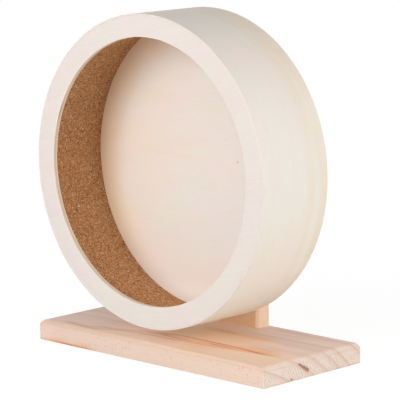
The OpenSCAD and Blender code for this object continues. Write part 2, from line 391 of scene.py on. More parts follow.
# The areas in which the board's marks lie, as limits for within, in metres. near and far are the
# distances past those growth lines, top and longSide are faces, streaks and strands are noises.
boardAreas = {
    "leftEnd": (("x", -0.105, -0.135),),
    "leftGrey": (("x", -0.045, -0.10), "top", 0.55),
    "sheen": (
        ("x", -0.080, -0.030), ("x", 0.060, 0.015, 0.0, 0.85), ("y", -0.060, -0.045, 0.3, 1.0), "top",
    ),
    "lines": (("x", 0.10, 0.12, 0.9, 0.0), "top"),
    "right": (("x", 0.10, 0.125, 1.0, 0.0), "top"),
    "glow": (
        ("far", -0.001, 0.004), ("y", 0.008, 0.034, 1.0, 0.0),
        ("x", -0.06, 0.0), ("x", 0.05, 0.105, 1.0, 0.0), "right", 0.85,
    ),
    "glowRight": (("x", 0.015, 0.060),),
    "patches": (
        ("y", "about", 0.0160, 0.011), ("x", -0.02, 0.025), ("x", 0.068, 0.090, 1.0, 0.0),
        ("streaks", 0.35, 0.6, 0.45, 0.85), "right",
    ),
    "above": (("far", "about", 0.004, 0.008), ("x", 0.05, 0.09), ("streaks", 0.3, 0.6, 0.5, 0.9), "right"),
    "strip": (("near", 0.001, -0.003), ("x", -0.06, -0.01, 0.2, 1.0), "top", 0.85),
    "stripRight": (("x", -0.02, 0.06),),
    "wedge": (("far", 0.001, -0.002), ("near", -0.002, 0.002), "right"),
    "rich": ("wedge", ("x", -0.03, 0.03, 0.15, 0.95), ("strands", 0.3, 0.6, 0.6, 1.0)),
    "richRight": (("x", 0.005, 0.065),),
    "tail": (("far", "about", 0.0035, 0.0075), ("x", "about", 0.106, 0.034), "top", 0.7),
    "besideTail": (("far", "about", 0.0110, 0.0065), ("x", "about", 0.098, 0.032), "top", 0.75),
    "threads": ("wedge", ("strands", 0.48, 0.60), ("x", -0.04, 0.0, 0.2, 0.6)),
    "farLine": (
        ("far", "about", -0.0004, 0.0024), ("x", -0.01, 0.05, 0.15, 0.8), ("strands", 0.25, 0.5, 0.6, 1.0),
        "right",
    ),
    "tip": (("far", "about", -0.001, 0.0036), ("x", "about", 0.094, 0.034), "top"),
    "nearLine": (
        ("near", "about", 0.001, 0.0024), ("x", -0.03, 0.0), ("x", 0.03, 0.07, 0.35, 0.1),
        ("strands", 0.3, 0.5, 0.4, 1.0), "right",
    ),
    "lowFront": (("y", -0.050, -0.0625), "longSide"),
    "arch": (("overFlame", 0.0014, -0.0040), ("x", -0.062, -0.076), "lowFront", 0.75),
    "lowLine": (("x", "about", -0.098, 0.046), ("z", 0.0022, 0.0010), "lowFront", 0.95),
    "arris": (
        ("up", 0.35, 0.6), ("up", 0.8, 0.95, 1.0, 0.0), ("y", -0.055, -0.062), ("x", -0.08, 0.0, 0.85, 0.4),
    ),
    "saw": (("wave", 0.45, 0.95), ("tear", 0.38, 0.58), ("patch", 0.3, 0.6, 0.35, 1.0), "end", 0.55),
}

# How strongly each pattern shows: its share, and what each kind of face adds to it. Late wood is plain and
# thin on the ends, soft on the top and hardly there on the long sides.
boardShares = {
    "late": (0.30, ("end", 0.16), ("longSide", -0.22)),
    "latePower": (1.0, ("end", 0.25)),
    "fine": (0.30, ("end", -0.15), ("longSide", -0.16)),
    "canals": (0.7, ("end", -0.6), ("top", -0.4)),
}

# The low resin streak on the front: two tongues (middle x and half width), the second slanting
flame = {
    "left": (-0.116, 0.032),
    "right": (-0.078, 0.026),
    "slant": 2.2,
    "height": (0.0052, 0.0004),
}


# How often each pattern of the pine repeats in a metre: along the grain, then across it or from the pith
pineGrain = {
    "waver": (9.0, 22.0, 22.0),
    "waverSize": 0.005,
    "fine": (4.0, 520.0),
    "fibre": (60.0, 1500.0, 1500.0),
    "canals": (230.0, 820.0, 820.0),
    "canalFade": (0.12, 0.36),
    "ringFades": ((0.0012, 0.7), (0.0, 1.0), (-0.0009, 0.0)),
}


def pineFigure(along, across, height, spec):
    # Growth rings as distance from a pith beside the board, wavering along the grain
    waver = noise(fieldVector((along, across, height), pineGrain["waver"]), 3, 0.5)
    pithAcross, pithHeight = spec["pith"]
    radius = reach(minus(across, pithAcross), minus(height, pithHeight))
    radius = plus(radius, times(minus(waver, 0.5), pineGrain["waverSize"]))
    low, high = spec["ringSpan"]
    stops = [(0.0, 0.0)]
    for ring in spec["rings"]:
        for inward, shade in ((spec["lateWidth"], 0.0), *pineGrain["ringFades"]):
            stops.append(((ring - inward - low) / (high - low), shade))
    late = ramp(calc("DIVIDE", minus(radius, low), high - low), stops)
    fine = noise(fieldVector((along, radius), pineGrain["fine"]), 3, 0.55)
    fibre = noise(fieldVector((along, across, height), pineGrain["fibre"]), 2, 0.6)
    return radius, late, fine, fibre


def resinCanals(along, across, height, share):
    # Short dashes along the grain, dots on the ends
    flecks = cells(fieldVector((along, across, height), pineGrain["canals"]))
    chosen = calc("GREATER_THAN", separate(flecks["Color"])[0], 1 - share)
    return times(spread(flecks["Distance"], *pineGrain["canalFade"], 1.0, 0.0), chosen)


def pastLine(along, across, places):
    # How far a point lies past a growth line that runs through a few places, in metres
    first, last = places[0][0] * mm, places[-1][0] * mm
    heights = [height * mm for _, height in places]
    low, high = min(heights), max(heights)
    stops = []
    for (x, _), height in zip(places, heights):
        stops.append(((x * mm - first) / (last - first), (height - low) / (high - low)))
    curve = ramp(calc("DIVIDE", minus(along, first), last - first), stops)
    curve.node.color_ramp.interpolation = "CARDINAL"
    return minus(across, timesPlus(curve, high - low, low))


def grainLine(offset, halfWidth, soft):
    # A late-wood line with a soft shade on its far side
    shade = times(spread(offset, 0.0, soft, 0.5, 0.0), spread(offset, -halfWidth, 0.0))
    return larger(hump(offset, 0.0, halfWidth), shade)


def byFace(faces, share):
    result, *extras = share
    for name, extra in extras:
        result = timesPlus(faces[name], extra, result)
    return result


def makeBoardPine():
    material, shader, spot, normal = startMaterial("planedPineBoard")
    spec = boardPine
    x, y, z = separate(spot)
    radius, late, fine, fibre = pineFigure(x, y, z, spec)
    endwise, sideways, up = separate(normal)
    end = spread(calc("ABSOLUTE", endwise), *spec["ends"])
    top = spread(up, *spec["faces"])
    longSide = spread(calc("ABSOLUTE", sideways), *spec["faces"])
    fields = {"x": x, "y": y, "z": z, "up": up, "end": end, "top": top, "longSide": longSide}
    area = areaFinder(fields, boardAreas)
    broad = noise(fieldVector((x, radius), spec["broad"]), 2, 0.5)
    colour = blend(times(spread(broad, 0.35, 0.7), top), spec["pale"], spec["grey"])
    colour = blend(longSide, colour, blend(area("leftEnd"), spec["side"], spec["leftEnd"]))
    colour = blend(end, colour, spec["end"])
    lateHere = calc("POWER", late, byFace(fields, boardShares["latePower"]))
    colour = blend(times(lateHere, byFace(fields, boardShares["late"])), colour, spec["late"])
    fineHere = times(spread(fine, 0.45, 0.75), byFace(fields, boardShares["fine"]))
    colour = blend(fineHere, colour, spec["late"])
    # The wood is greyer on the left, where growth rings come out in long curves
    colour = blend(area("leftGrey"), colour, spec["leftGrey"])
    waver = noise(fieldVector((x, y), spec["lineWaver"]), 2, 0.5)
    wavered = timesPlus(minus(waver, 0.5), spec["lineSwing"], y)
    for name, places in boardLines.items():
        fields[name] = pastLine(x, wavered, places)
    # Painted light: a pale wash on the top where it lies in the drum's shade, standing in for warm bounced
    # light
    colour = blend(area("sheen"), colour, spec["sheen"])
    shades = []
    for name, (halfWidth, soft, limits) in lineShades.items():
        shades.append(times(grainLine(fields[name], halfWidth, soft), within(fields, limits)))
    colour = blend(times(larger(*shades), area("lines")), colour, spec["late"])
    # Resin-rich wood on the top: a warm glow, partly the wood's own tone and partly painted bounce light in
    # the drum's shade, with amber patches behind the far line
    fields["right"] = area("right")
    colour = blend(area("glow"), colour, blend(area("glowRight"), spec["glow"], spec["glowRight"]))
    fields["streaks"] = noise(fieldVector((x, y), spec["streaks"]), 3, 0.55)
    colour = blend(area("patches", "above"), colour, spec["amber"])
    colour = blend(area("strip"), colour, blend(area("stripRight"), spec["stripLeft"], spec["strip"]))
    # Between the two lines the wood is full of resin, in fine strands. Its paler left part is painted light
    # against the drum's shade there
    fields["wedge"] = area("wedge")
    fields["strands"] = noise(fieldVector((x, y), spec["strands"]), 2, 0.6)
    colour = blend(area("rich"), colour, blend(area("richRight"), spec["resin"], spec["resinRight"]))
    colour = blend(area("tail", "besideTail"), colour, spec["resinTip"])
    colour = blend(area("farLine", "tip", "nearLine", "threads"), colour, spec["resinLine"])
    # A low resin streak on the front, left, and the darker arris above the front
    fields["lowFront"] = area("lowFront")
    slanted = plus(x, times(z, flame["slant"]))
    flameTop = timesPlus(larger(hump(x, *flame["left"]), hump(slanted, *flame["right"])), *flame["height"])
    fields["overFlame"] = minus(z, flameTop)
    colour = blend(area("arch"), colour, spec["lowResin"])
    colour = blend(area("lowLine"), colour, spec["resinLine"])
    colour = blend(area("arris"), colour, spec["edge"])
    canals = resinCanals(x, y, z, spec["canalShare"])
    colour = blend(times(canals, byFace(fields, boardShares["canals"])), colour, spec["canal"])
    colour = blend(times(spread(fibre, 0.3, 0.8), spec["fibreShare"]), colour, spec["late"])
    # End grain: rows of torn fibre that the saw left, and the sunk pockets, painted darker the deeper they go
    rowY, rowZ = endSaw["slant"]
    acrossRows = plus(times(y, rowY), times(z, rowZ))
    alongRows = plus(times(y, -rowZ), times(z, rowY))
    fields["tear"] = noise(fieldVector((acrossRows, alongRows, x), endSaw["tear"]), 2, 0.6)
    row = timesPlus(fields["tear"], endSaw["tearShift"], times(acrossRows, 1 / endSaw["pitch"]))
    fields["wave"] = timesPlus(calc("SINE", times(row, 2 * math.pi)), 0.5, 0.5)
    fields["patch"] = noise(stretched(spot, endSaw["patches"]), 2, 0.5)
    colour = blend(area("saw"), colour, spec["late"])
    # Painted shade: the pockets darken towards their deepest middle
    pocket = attribute("pocket")
    colour = blend(spread(pocket, 0.0, 0.5), colour, spec["pocket"])
    colour = blend(spread(pocket, 0.6, 1.0, 0.0, 0.8), colour, spec["pocketDeep"])
    height = plus(minus(times(fibre, 0.6), canals), times(late, 0.5))
    setShader(shader, colour, spread(fibre, 0.2, 0.8, *spec["roughness"]), height, spec["relief"])
    return material


uprightPine = {
    "pith": (-0.020, -0.130),
    "rings": (0.116, 0.133, 0.149, 0.166, 0.1842, 0.199),
    "ringSpan": (0.105, 0.215),
    "lateWidth": 0.005,
    "pale": fromScreen(234, 205, 181),
    "front": fromScreen(240, 201, 162),
    "late": fromScreen(218, 170, 136),
    "fine": fromScreen(222, 178, 146),
    "fibre": fromScreen(206, 152, 116),
    "canalShare": 0.16,
    "lateShare": 0.28,
    "fineShare": 0.16,
    "canalStrength": 0.4,
    "fibreShare": 0.15,
    "roughness": 0.7,
    "relief": 0.00005,
}


def makeUprightPine():
    material, shader, spot, normal = startMaterial("planedPineUpright")
    spec = uprightPine
    x, y, z = separate(spot)
    _, late, fine, fibre = pineFigure(z, x, y, spec)
    # The front face is a little deeper and warmer in colour than the others: a painted shade for the warm
    # shadow under the drum
    colour = blend(spread(separate(normal)[1], -0.6, -0.95), spec["pale"], spec["front"])
    colour = blend(times(late, spec["lateShare"]), colour, spec["late"])
    colour = blend(times(spread(fine, 0.45, 0.75), spec["fineShare"]), colour, spec["fine"])
    canals = times(resinCanals(z, x, y, spec["canalShare"]), spec["canalStrength"])
    colour = blend(canals, colour, boardPine["canal"])
    colour = blend(times(spread(fibre, 0.3, 0.8), spec["fibreShare"]), colour, spec["fibre"])
    setShader(shader, colour, spec["roughness"], fibre, spec["relief"])
    return material


# Plywood

veneer = {
    "pink": fromScreen(240, 228, 221),
    "cream": fromScreen(237, 231, 219),
    "figure": fromScreen(234, 219, 203),
    "fibre": fromScreen(226, 199, 168),
    "knot": fromScreen(126, 72, 50),
}

# How far each sheet's wood departs from the veneer's colours, in red, green and blue
sheetTones = {
    "ring": (0.85, 0.845, 0.87),
    "panel": (0.925, 0.925, 0.945),
    "band": (0.93, 0.925, 0.925),
}

# How the sheets' figure, fibre and clouds are stretched, and how plainly they show
plywoodFinish = {
    "tilt": 12,
    "figure": (5, 34, 30),
    "fibre": (40, 900, 900),
    "cloud": (26, 26, 38),
    "figureShare": 0.25,
    "fibreShare": 0.16,
    "roughness": 0.72,
    "relief": 0.00003,
}


def toned(tone):
    # The veneer's colours for one sheet, whose wood is a little darker or warmer
    return {name: tuple(part * share for part, share in zip(shade, tone)) for name, shade in veneer.items()}


def figured(colour, figure, fibre, sheet):
    # Lays the sheet's faint figure and its fine fibre over a colour
    colour = blend(times(figure, plywoodFinish["figureShare"]), colour, sheet["figure"])
    return blend(times(spread(fibre, 0.35, 0.8), plywoodFinish["fibreShare"]), colour, sheet["fibre"])


def makePlywood(name, tone):
    # Pale sanded veneer with soft clouds, a faint figure and fine fibre along X
    material, shader, spot, normal = startMaterial(name)
    sheet = toned(tone)
    tilted = stretched(spot, (1, 1, 1), plywoodFinish["tilt"])
    figure = noise(stretched(tilted, plywoodFinish["figure"]), 3, 0.5, 0.6)
    fibre = noise(stretched(tilted, plywoodFinish["fibre"]), 2, 0.6)
    cloud = noise(stretched(spot, plywoodFinish["cloud"]), 3, 0.55)
    colour = blend(spread(cloud, 0.35, 0.65), sheet["pink"], sheet["cream"])
    colour = figured(colour, spread(figure, 0.4, 0.75), fibre, sheet)
    return material, shader, spot, normal, colour, fibre


ringEdge = {
    "front": fromScreen(238, 220, 202),
    "core": fromScreen(232, 210, 184),
    "rear": fromScreen(240, 230, 215),
    "glue": fromScreen(206, 174, 142),
    "glueHalfWidth": 0.00028,
    "glueShare": 0.5,
    "waver": 0.0004,
    "waverScale": (120, 120, 120),
    "soft": 0.0001,
    "knotScale": (260, 900, 260),
    "knotBreaks": (0.42, 0.5, 0.3, 1.0),
}


def makeRingPlywood():
    material, shader, spot, _, colour, fibre = makePlywood("sandedRingPlywood", sheetTones["ring"])
    # The cut edge shows a front ply, a darker core and a rear ply, at their depths behind the face
    depth = minus(separate(spot)[1], station["wheelFront"] * mm)
    waver = noise(stretched(spot, ringEdge["waverScale"]), 2, 0.5)
    depth = timesPlus(minus(waver, 0.5), ringEdge["waver"], depth)
    plies, glue, soft = ringEdge["front"], [], ringEdge["soft"]
    for glueLine, ply in zip(ring["plies"], ("core", "rear")):
        plies = blend(spread(depth, glueLine - soft, glueLine + soft), plies, ringEdge[ply])
        glue.append(hump(depth, glueLine, ringEdge["glueHalfWidth"]))
    plies = blend(times(larger(*glue), ringEdge["glueShare"]), plies, ringEdge["glue"])
    colour = blend(attribute("cutEdge"), colour, plies)
    broken = noise(stretched(spot, ringEdge["knotScale"]), 2, 0.5)
    knot = times(attribute("knot"), spread(broken, *ringEdge["knotBreaks"]))
    colour = blend(knot, colour, veneer["knot"])
    setShader(shader, colour, plywoodFinish["roughness"], fibre, plywoodFinish["relief"])
    return material


panelLook = {
    "slant": -32,
    "wideFigure": (6, 1, 26),
    "leftCorkBounceShare": 0.3,
    "peach": toned((1.0, 0.93, 0.86))["figure"],
    "low": fromScreen(251, 244, 236),
    "stain": fromScreen(244, 216, 182),
    "bounceOffsetTint": (0.995, 1.035, 1.05),
    "pinKnot": (0.0434, 0.1764),
}

# The panel's marks; inside is its front face, fromAxle and fromKnot are distances
panelAreas = {
    "left": (("x", 0.0, -0.09),),
    "slanting": (("wide", 0.5, 0.68), ("x", 0.06, -0.02), 0.35),
    "pink": (("z", 0.12, 0.050, 0.0, 0.9),),
    "low": (("z", 0.064, 0.045, 0.0, 0.9),),
    "stain": (("fromAxle", 0.098, 0.130), ("z", 0.06, 0.12), "inside", 0.85),
    "middle": (("z", "about", 0.120, 0.050), "inside"),
    "pinKnot": (("fromKnot", 0.0004, 0.0009, 0.8, 0.0), "inside"),
}


def makePanelPlywood():
    name = "sandedPanelPlywood"
    material, shader, spot, normal, colour, fibre = makePlywood(name, sheetTones["panel"])
    # The sheet is peach on one side, painted there as warm light from the cork, with a wide slanting figure
    # of its own; near its rim lies a painted warm light from the cork
    x, _, z = separate(spot)
    knotX, knotZ = panelLook["pinKnot"]
    fields = {
        "x": x,
        "z": z,
        "wide": noise(stretched(spot, panelLook["wideFigure"], panelLook["slant"]), 3, 0.5, 0.5),
        "inside": spread(separate(normal)[1], -0.5, -0.9),
        "fromAxle": reach(x, minus(z, axleHeight)),
        "fromKnot": reach(minus(x, knotX), minus(z, knotZ)),
    }
    area = areaFinder(fields, panelAreas)
    # Painted light: the left half's peach stands in for warm light from the cork; the slanting figure is the
    # sheet's own
    peach = timesPlus(area("left"), panelLook["leftCorkBounceShare"], area("slanting"))
    colour = blend(peach, colour, panelLook["peach"])
    colour = blend(area("pink"), colour, veneer["pink"])
    # Painted light: the bottom of the sheet is painted paler, against the shade at its lower edge
    colour = blend(area("low"), colour, panelLook["low"])
    # Painted light: a warm band near the front face's rim stands in for light bounced off the cork
    colour = blend(area("stain"), colour, panelLook["stain"])
    # Painted light: a cooler tint across the middle height offsets the warm light bounced up from below
    colour = blend(area("middle"), colour, panelLook["bounceOffsetTint"], "MULTIPLY")
    colour = blend(area("pinKnot"), colour, veneer["knot"])
    setShader(shader, colour, plywoodFinish["roughness"], fibre, plywoodFinish["relief"])
    return material


# The bent strip's marks; along runs round the drum and across from its front edge, in metres
bandAreas = {
    "honey": (("along", "about", 0.215, 0.16, 0.03), 0.5),
    "pale": (("along", "about", 0.375, 0.10), 0.5),
    "cool": (("along", "about", 0.205, 0.08),),
    "frontEdge": (("across", 0.0006, 0.0016, 1.0, 0.0),),
    "rear": (("across", 0.048, 0.072), ("figure", 0.35, 0.6), 0.6),
}

bandLook = {
    "figure": (3, 55, 1),
    "fibre": (50, 1100, 1),
    "cloud": (16, 34, 1),
    "honey": fromScreen(245, 232, 210),
    "pale": toned((0.90, 0.93, 0.98))["cream"],
    "coolTint": (1.01, 1.06, 1.12),
    "frontEdge": toned((0.88, 0.87, 0.88))["pink"],
    "rear": fromScreen(228, 212, 188),
    "roughness": 0.7,
}


def makeBentPlywood():
    # The strip's own attribute runs round the drum in x and across it in y
    material, shader, _, _ = startMaterial("bentPlywoodStrip")
    sheet = toned(sheetTones["band"])
    strip = attribute("strip", "Vector")
    figure = noise(stretched(strip, bandLook["figure"]), 3, 0.5, 0.4)
    fibre = noise(stretched(strip, bandLook["fibre"]), 2, 0.6)
    cloud = noise(stretched(strip, bandLook["cloud"]), 3, 0.55)
    along, across, _ = separate(strip)
    area = areaFinder({"along": along, "across": across, "figure": figure}, bandAreas)
    # Over a third of its length, round the drum's lower right, the strip is painted from pale to a warm light
    # tone and back: painted bounce light from the floor and board below
    colour = blend(spread(cloud, 0.38, 0.62), sheet["pink"], sheet["cream"])
    colour = blend(area("honey"), colour, bandLook["honey"])
    colour = blend(area("pale"), colour, bandLook["pale"])
    colour = blend(area("cool"), colour, bandLook["coolTint"], "MULTIPLY")
    colour = blend(area("frontEdge"), colour, bandLook["frontEdge"])
    colour = blend(area("rear"), colour, bandLook["rear"])
    colour = figured(colour, spread(figure, 0.45, 0.75), fibre, sheet)
    setShader(shader, colour, bandLook["roughness"], fibre, plywoodFinish["relief"])
    return material


# Cork, beech, metal and nylon

corkLook = {
    "granule": 0.0008,
    "wobble": 0.4,
    "clusterScale": 0.4,
    "dotScale": 0.36,
    "shades": (
        (0.0, fromScreen(74, 48, 30)),
        (0.14, fromScreen(160, 110, 68)),
        (0.5, fromScreen(208, 153, 105)),
        (0.8, fromScreen(228, 176, 125)),
        (1.0, fromScreen(255, 236, 194)),
    ),
    "red": fromScreen(224, 152, 106),
    "gap": fromScreen(120, 80, 46),
    "dot": fromScreen(58, 34, 22),
    "toneShares": (0.8, 0.2),
    "redShare": 0.35,
    "gapShare": 0.35,
    "gapWidth": 0.08,
    "dotShare": 0.07,
    "dotFade": (0.12, 0.26),
    "dotStrength": 0.85,
    "paintedBottomLight": (0.11, 0.04, 0.97, 1.07),
    "paintedRearShade": (-0.015, 0.009, 1.02, 0.9),
    "roughness": 0.85,
    "relief": 0.00010,
}


def makeCork():
    material, shader, spot, _ = startMaterial("agglomeratedCork")
    wobble = times(noise(stretched(spot, (900, 900, 900)), 2, 0.6), corkLook["wobble"])
    vector = vectorMath("MULTIPLY", {0: spot, 1: (1 / corkLook["granule"],) * 3})
    vector = vectorMath("ADD", {0: vector, 1: combine(wobble, wobble, wobble)})
    tone, hue, _ = separate(cells(vector)["Color"])
    clusterTone = separate(cells(vector, corkLook["clusterScale"])["Color"])[1]
    own, common = corkLook["toneShares"]
    colour = ramp(timesPlus(tone, own, times(clusterTone, common)), corkLook["shades"])
    colour = blend(times(spread(hue, 0.7, 0.9), corkLook["redShare"]), colour, corkLook["red"])
    edges = cells(vector, feature="DISTANCE_TO_EDGE")["Distance"]
    gaps = spread(edges, 0.0, corkLook["gapWidth"], corkLook["gapShare"], 0.0)
    colour = blend(gaps, colour, corkLook["gap"])
    dots = cells(vector, corkLook["dotScale"])
    rare = calc("GREATER_THAN", separate(dots["Color"])[2], 1 - corkLook["dotShare"])
    dark = times(rare, spread(dots["Distance"], *corkLook["dotFade"], 1.0, 0.0))
    colour = blend(times(dark, corkLook["dotStrength"]), colour, corkLook["dot"])
    # Painted light and shade: the strip is painted lighter at the bottom of the drum, where more light falls,
    # and browner beside the panel, where it lies in shade
    _, y, z = separate(spot)
    light = times(spread(z, *corkLook["paintedBottomLight"]), spread(y, *corkLook["paintedRearShade"]))
    colour = blend(1.0, colour, light, "MULTIPLY")
    height = minus(spread(edges, 0.0, 0.25), dark)
    setShader(shader, colour, corkLook["roughness"], height, corkLook["relief"], specular=0.2)
    return material


beechLook = {
    "flecks": (260, 260, 1400),
    "figure": (60, 60, 8),
    "pale": fromScreen(220, 190, 158),
    "deep": fromScreen(204, 168, 132),
    "fleck": fromScreen(170, 126, 90),
    "fleckShare": 0.4,
    "roughness": 0.6,
    "relief": 0.00004,
}


def makeBeech():
    material, shader, spot, _ = startMaterial("turnedBeech")
    flecks = noise(stretched(spot, beechLook["flecks"]), 2, 0.5)
    figure = noise(stretched(spot, beechLook["figure"]), 3, 0.5, 0.5)
    colour = blend(spread(figure, 0.3, 0.7), beechLook["pale"], beechLook["deep"])
    colour = blend(times(spread(flecks, 0.55, 0.75), beechLook["fleckShare"]), colour, beechLook["fleck"])
    setShader(shader, colour, beechLook["roughness"], flecks, beechLook["relief"])
    return material


# Each steel: its name, its two shades, its roughness and how its marks are stretched
steels = {
    "zinc_steel": ("zincPlatedSteel", (0.62, 0.63, 0.65), (0.68, 0.68, 0.66), 0.34, (700, 90, 700)),
    "bearing_steel": ("groundBearingSteel", (0.60, 0.60, 0.61), (0.64, 0.64, 0.64), 0.2, (90, 900, 90)),
    "ball_steel": ("polishedBallSteel", (0.66, 0.66, 0.67), (0.70, 0.70, 0.70), 0.1, (300, 300, 300)),
    "pressed_steel": ("pressedSheetSteel", (0.56, 0.57, 0.58), (0.62, 0.62, 0.62), 0.4, (500, 500, 500)),
}
steelCloud = (300, 300, 300)
steelRelief = 0.00001


def makeSteel(name, colour, tint, roughness, scratches):
    material, shader, spot, _ = startMaterial(name)
    cloud = noise(stretched(spot, steelCloud), 3, 0.6)
    marks = noise(stretched(spot, scratches), 3, 0.6)
    shade = blend(spread(cloud, 0.3, 0.7), colour, tint)
    rough = spread(marks, 0.3, 0.7, roughness * 0.8, roughness * 1.3)
    setShader(shader, shade, rough, marks, steelRelief, specular=0.5)
    setInput(shader, "Metallic", 1.0)
    return material


nylonLook = {
    "cloud": (500, 500, 500),
    "shades": ((0.72, 0.73, 0.69), (0.80, 0.80, 0.76)),
    "roughness": 0.42,
    "subsurface": 0.1,
    "relief": 0.00003,
}


def makeNylon():
    material, shader, spot, _ = startMaterial("naturalNylon")
    cloud = noise(stretched(spot, nylonLook["cloud"]), 2, 0.5)
    colour = blend(cloud, *nylonLook["shades"])
    setShader(shader, colour, nylonLook["roughness"], cloud, nylonLook["relief"], specular=0.5)
    setInput(shader, "Subsurface Weight", nylonLook["subsurface"])
    return material


# The floor and the world look white to the camera and light the object much less than that

def seenDirectly():
    path = addNode("ShaderNodeLightPath").outputs
    return larger(path["Is Camera Ray"], path["Is Glossy Ray"], path["Is Transmission Ray"])


def shaderNode(kind, **inputs):
    # A plain shader, from inputs whose names are single words
    inputs = {name.capitalize(): value for name, value in inputs.items()}
    return addNode("ShaderNode" + kind, inputs).outputs[0]


def mixed(factor, first, second):
    return addNode("ShaderNodeMixShader", {0: factor, 1: first, 2: second}).outputs[0]


def addFloorAndWorld():
    size = studio["floorSize"] / 2
    white = (1, 1, 1)
    mesh = bpy.data.meshes.new("studioFloor")
    corners = [(-size, -size, 0), (size, -size, 0), (size, size, 0), (-size, size, 0)]
    mesh.from_pydata(corners, [], [(0, 1, 2, 3)])
    floor = bpy.data.objects.new("studioFloor", mesh)
    floor.location.z = -studio["floorDrop"]
    scene.collection.objects.link(floor)
    material = bpy.data.materials.new("whiteStudioFloor")
    output = startTree(material, "ShaderNodeOutputMaterial")
    plain = shaderNode("BsdfDiffuse", color=studio["floorColour"])
    catcher = shaderNode("BsdfDiffuse", color=(studio["floorShadowShare"],) * 3)
    glow = shaderNode("Emission", color=white, strength=studio["floorGlow"])
    near = addNode("ShaderNodeAddShader", {0: catcher, 1: glow}).outputs[0]
    far = shaderNode("Emission", color=white, strength=1.0)
    place = addNode("ShaderNodeTexCoord").outputs["Object"]
    distance = addNode("ShaderNodeVectorMath", {0: place}, operation="LENGTH").outputs["Value"]
    away = spread(distance, studio["shadowReach"] * 0.5, studio["shadowReach"])
    setInput(output, "Surface", mixed(seenDirectly(), plain, mixed(away, near, far)))
    mesh.materials.append(material)

    scene.world = bpy.data.worlds.new("studioWorld")
    output = startTree(scene.world, "ShaderNodeOutputWorld")
    ambient = shaderNode("Background", color=white, strength=studio["ambient"])
    bright = shaderNode("Background", color=white, strength=1.0)
    setInput(output, "Surface", mixed(seenDirectly(), ambient, bright))


# Mesh helpers

def smooth(mesh, sharpAngle=32):
    mesh.shade_smooth()
    mesh.set_sharp_from_angle(angle=math.radians(sharpAngle))


def finishShape(name, shape, sharpAngle=32):
    # Merges doubled points, turns the faces outward and makes an object of the shape
    bmesh.ops.remove_doubles(shape, verts=shape.verts, dist=1e-7)
    bmesh.ops.recalc_face_normals(shape, faces=shape.faces)
    mesh = bpy.data.meshes.new(name)
    shape.to_mesh(mesh)
    shape.free()
    smooth(mesh, sharpAngle)
    piece = bpy.data.objects.new(name, mesh)
    scene.collection.objects.link(piece)
    return piece


def skinRows(name, rows, closeRows=True, capEnds=False, sharpAngle=32):
    # Each row is a closed loop of points; neighbouring rows are joined by faces
    rows = np.asarray(rows, float)
    count, around = rows.shape[:2]
    first = np.arange(around)
    second = (first + 1) % around
    faces = []
    for here in range(count if closeRows else count - 1):
        low, high = here * around, (here + 1) % count * around
        faces += np.column_stack([low + first, low + second, high + second, high + first]).tolist()
    if capEnds:
        faces += [list(range(around)), list(range((count - 1) * around, count * around))[::-1]]
    mesh = bpy.data.meshes.new(name)
    mesh.from_pydata(rows.reshape(-1, 3).tolist(), [], faces)
    shape = bmesh.new()
    shape.from_mesh(mesh)
    bpy.data.meshes.remove(mesh)
    return finishShape(name, shape, sharpAngle)


def allRound(segments):
    return np.linspace(0, 2 * math.pi, segments, endpoint=False)


def onAxle(radius, angle, y):
    # Points round the axle; the radius and y are in millimetres
    out = radius * mm
    return np.stack([out * np.cos(angle), y * mm + 0 * angle, axleHeight + out * np.sin(angle)], axis=-1)


def turned(name, stations, segments=192, closeRows=True, sharpAngle=32, capEnds=False):
    # Rows of (radius, y) round the axle, each a number or one value per angle, in millimetres
    angle = allRound(segments)
    rows = [onAxle(radius, angle, y) for radius, y in stations]
    return skinRows(name, rows, closeRows, capEnds, sharpAngle)


def plug(name, radius, front, rear, segments=64):
    # A round or many-sided bar on the axle, to cut with
    return turned(name, [(0, front), (radius, front), (radius, rear), (0, rear)], segments, False)


def standing(name, stations, segments=48, place=(0, 0), capEnds=True, sharpAngle=50):
    # Rows of (radius, z) round an upright line at a place (x, y), in millimetres
    angle = allRound(segments)
    x, y = place[0] * mm, place[1] * mm
    rows = []
    for radius, z in stations:
        out, level = radius * mm, z * mm + 0 * angle
        rows.append(np.stack([x + out * np.cos(angle), y + out * np.sin(angle), level], axis=-1))
    return skinRows(name, rows, False, capEnds, sharpAngle)


def easedCorners(corners, steps=4):
    # Rounds each corner (radius, y, ease) of a closed outline
    outline = []
    for index, (radius, y, ease) in enumerate(corners):
        here = np.array((radius, y))
        if not ease:
            outline.append(tuple(here))
            continue
        before = np.array(corners[index - 1][:2]) - here
        after = np.array(corners[(index + 1) % len(corners)][:2]) - here
        start = here + before / np.linalg.norm(before) * ease
        end = here + after / np.linalg.norm(after) * ease
        for share in np.linspace(0, 1, steps + 1):
            left = 1 - share
            outline.append(tuple(left ** 2 * start + 2 * share * left * here + share ** 2 * end))
    return outline


def setAttribute(piece, name, values):
    isVector = np.ndim(values) == 2
    layer = piece.data.attributes.new(name, "FLOAT_VECTOR" if isVector else "FLOAT", "POINT")
    layer.data.foreach_set("vector" if isVector else "value", np.asarray(values, np.float32).ravel())


def roundAxle(piece):
    # Each point's distance from the axle, its angle in degrees and its y, in millimetres
    places = np.zeros(len(piece.data.vertices) * 3, np.float32)
    piece.data.vertices.foreach_get("co", places)
    x, y, z = places.reshape(-1, 3).astype(float).T
    return np.hypot(x, z - axleHeight) / mm, np.degrees(np.arctan2(z - axleHeight, x)), y / mm


def takeResult(piece):
    # Makes the result of the piece's modifiers its own mesh
    evaluated = piece.evaluated_get(bpy.context.evaluated_depsgraph_get())
    mesh = bpy.data.meshes.new_from_object(evaluated)
    piece.modifiers.clear()
    old = piece.data
    piece.data = mesh
    bpy.data.meshes.remove(old)
    mesh.name = piece.name


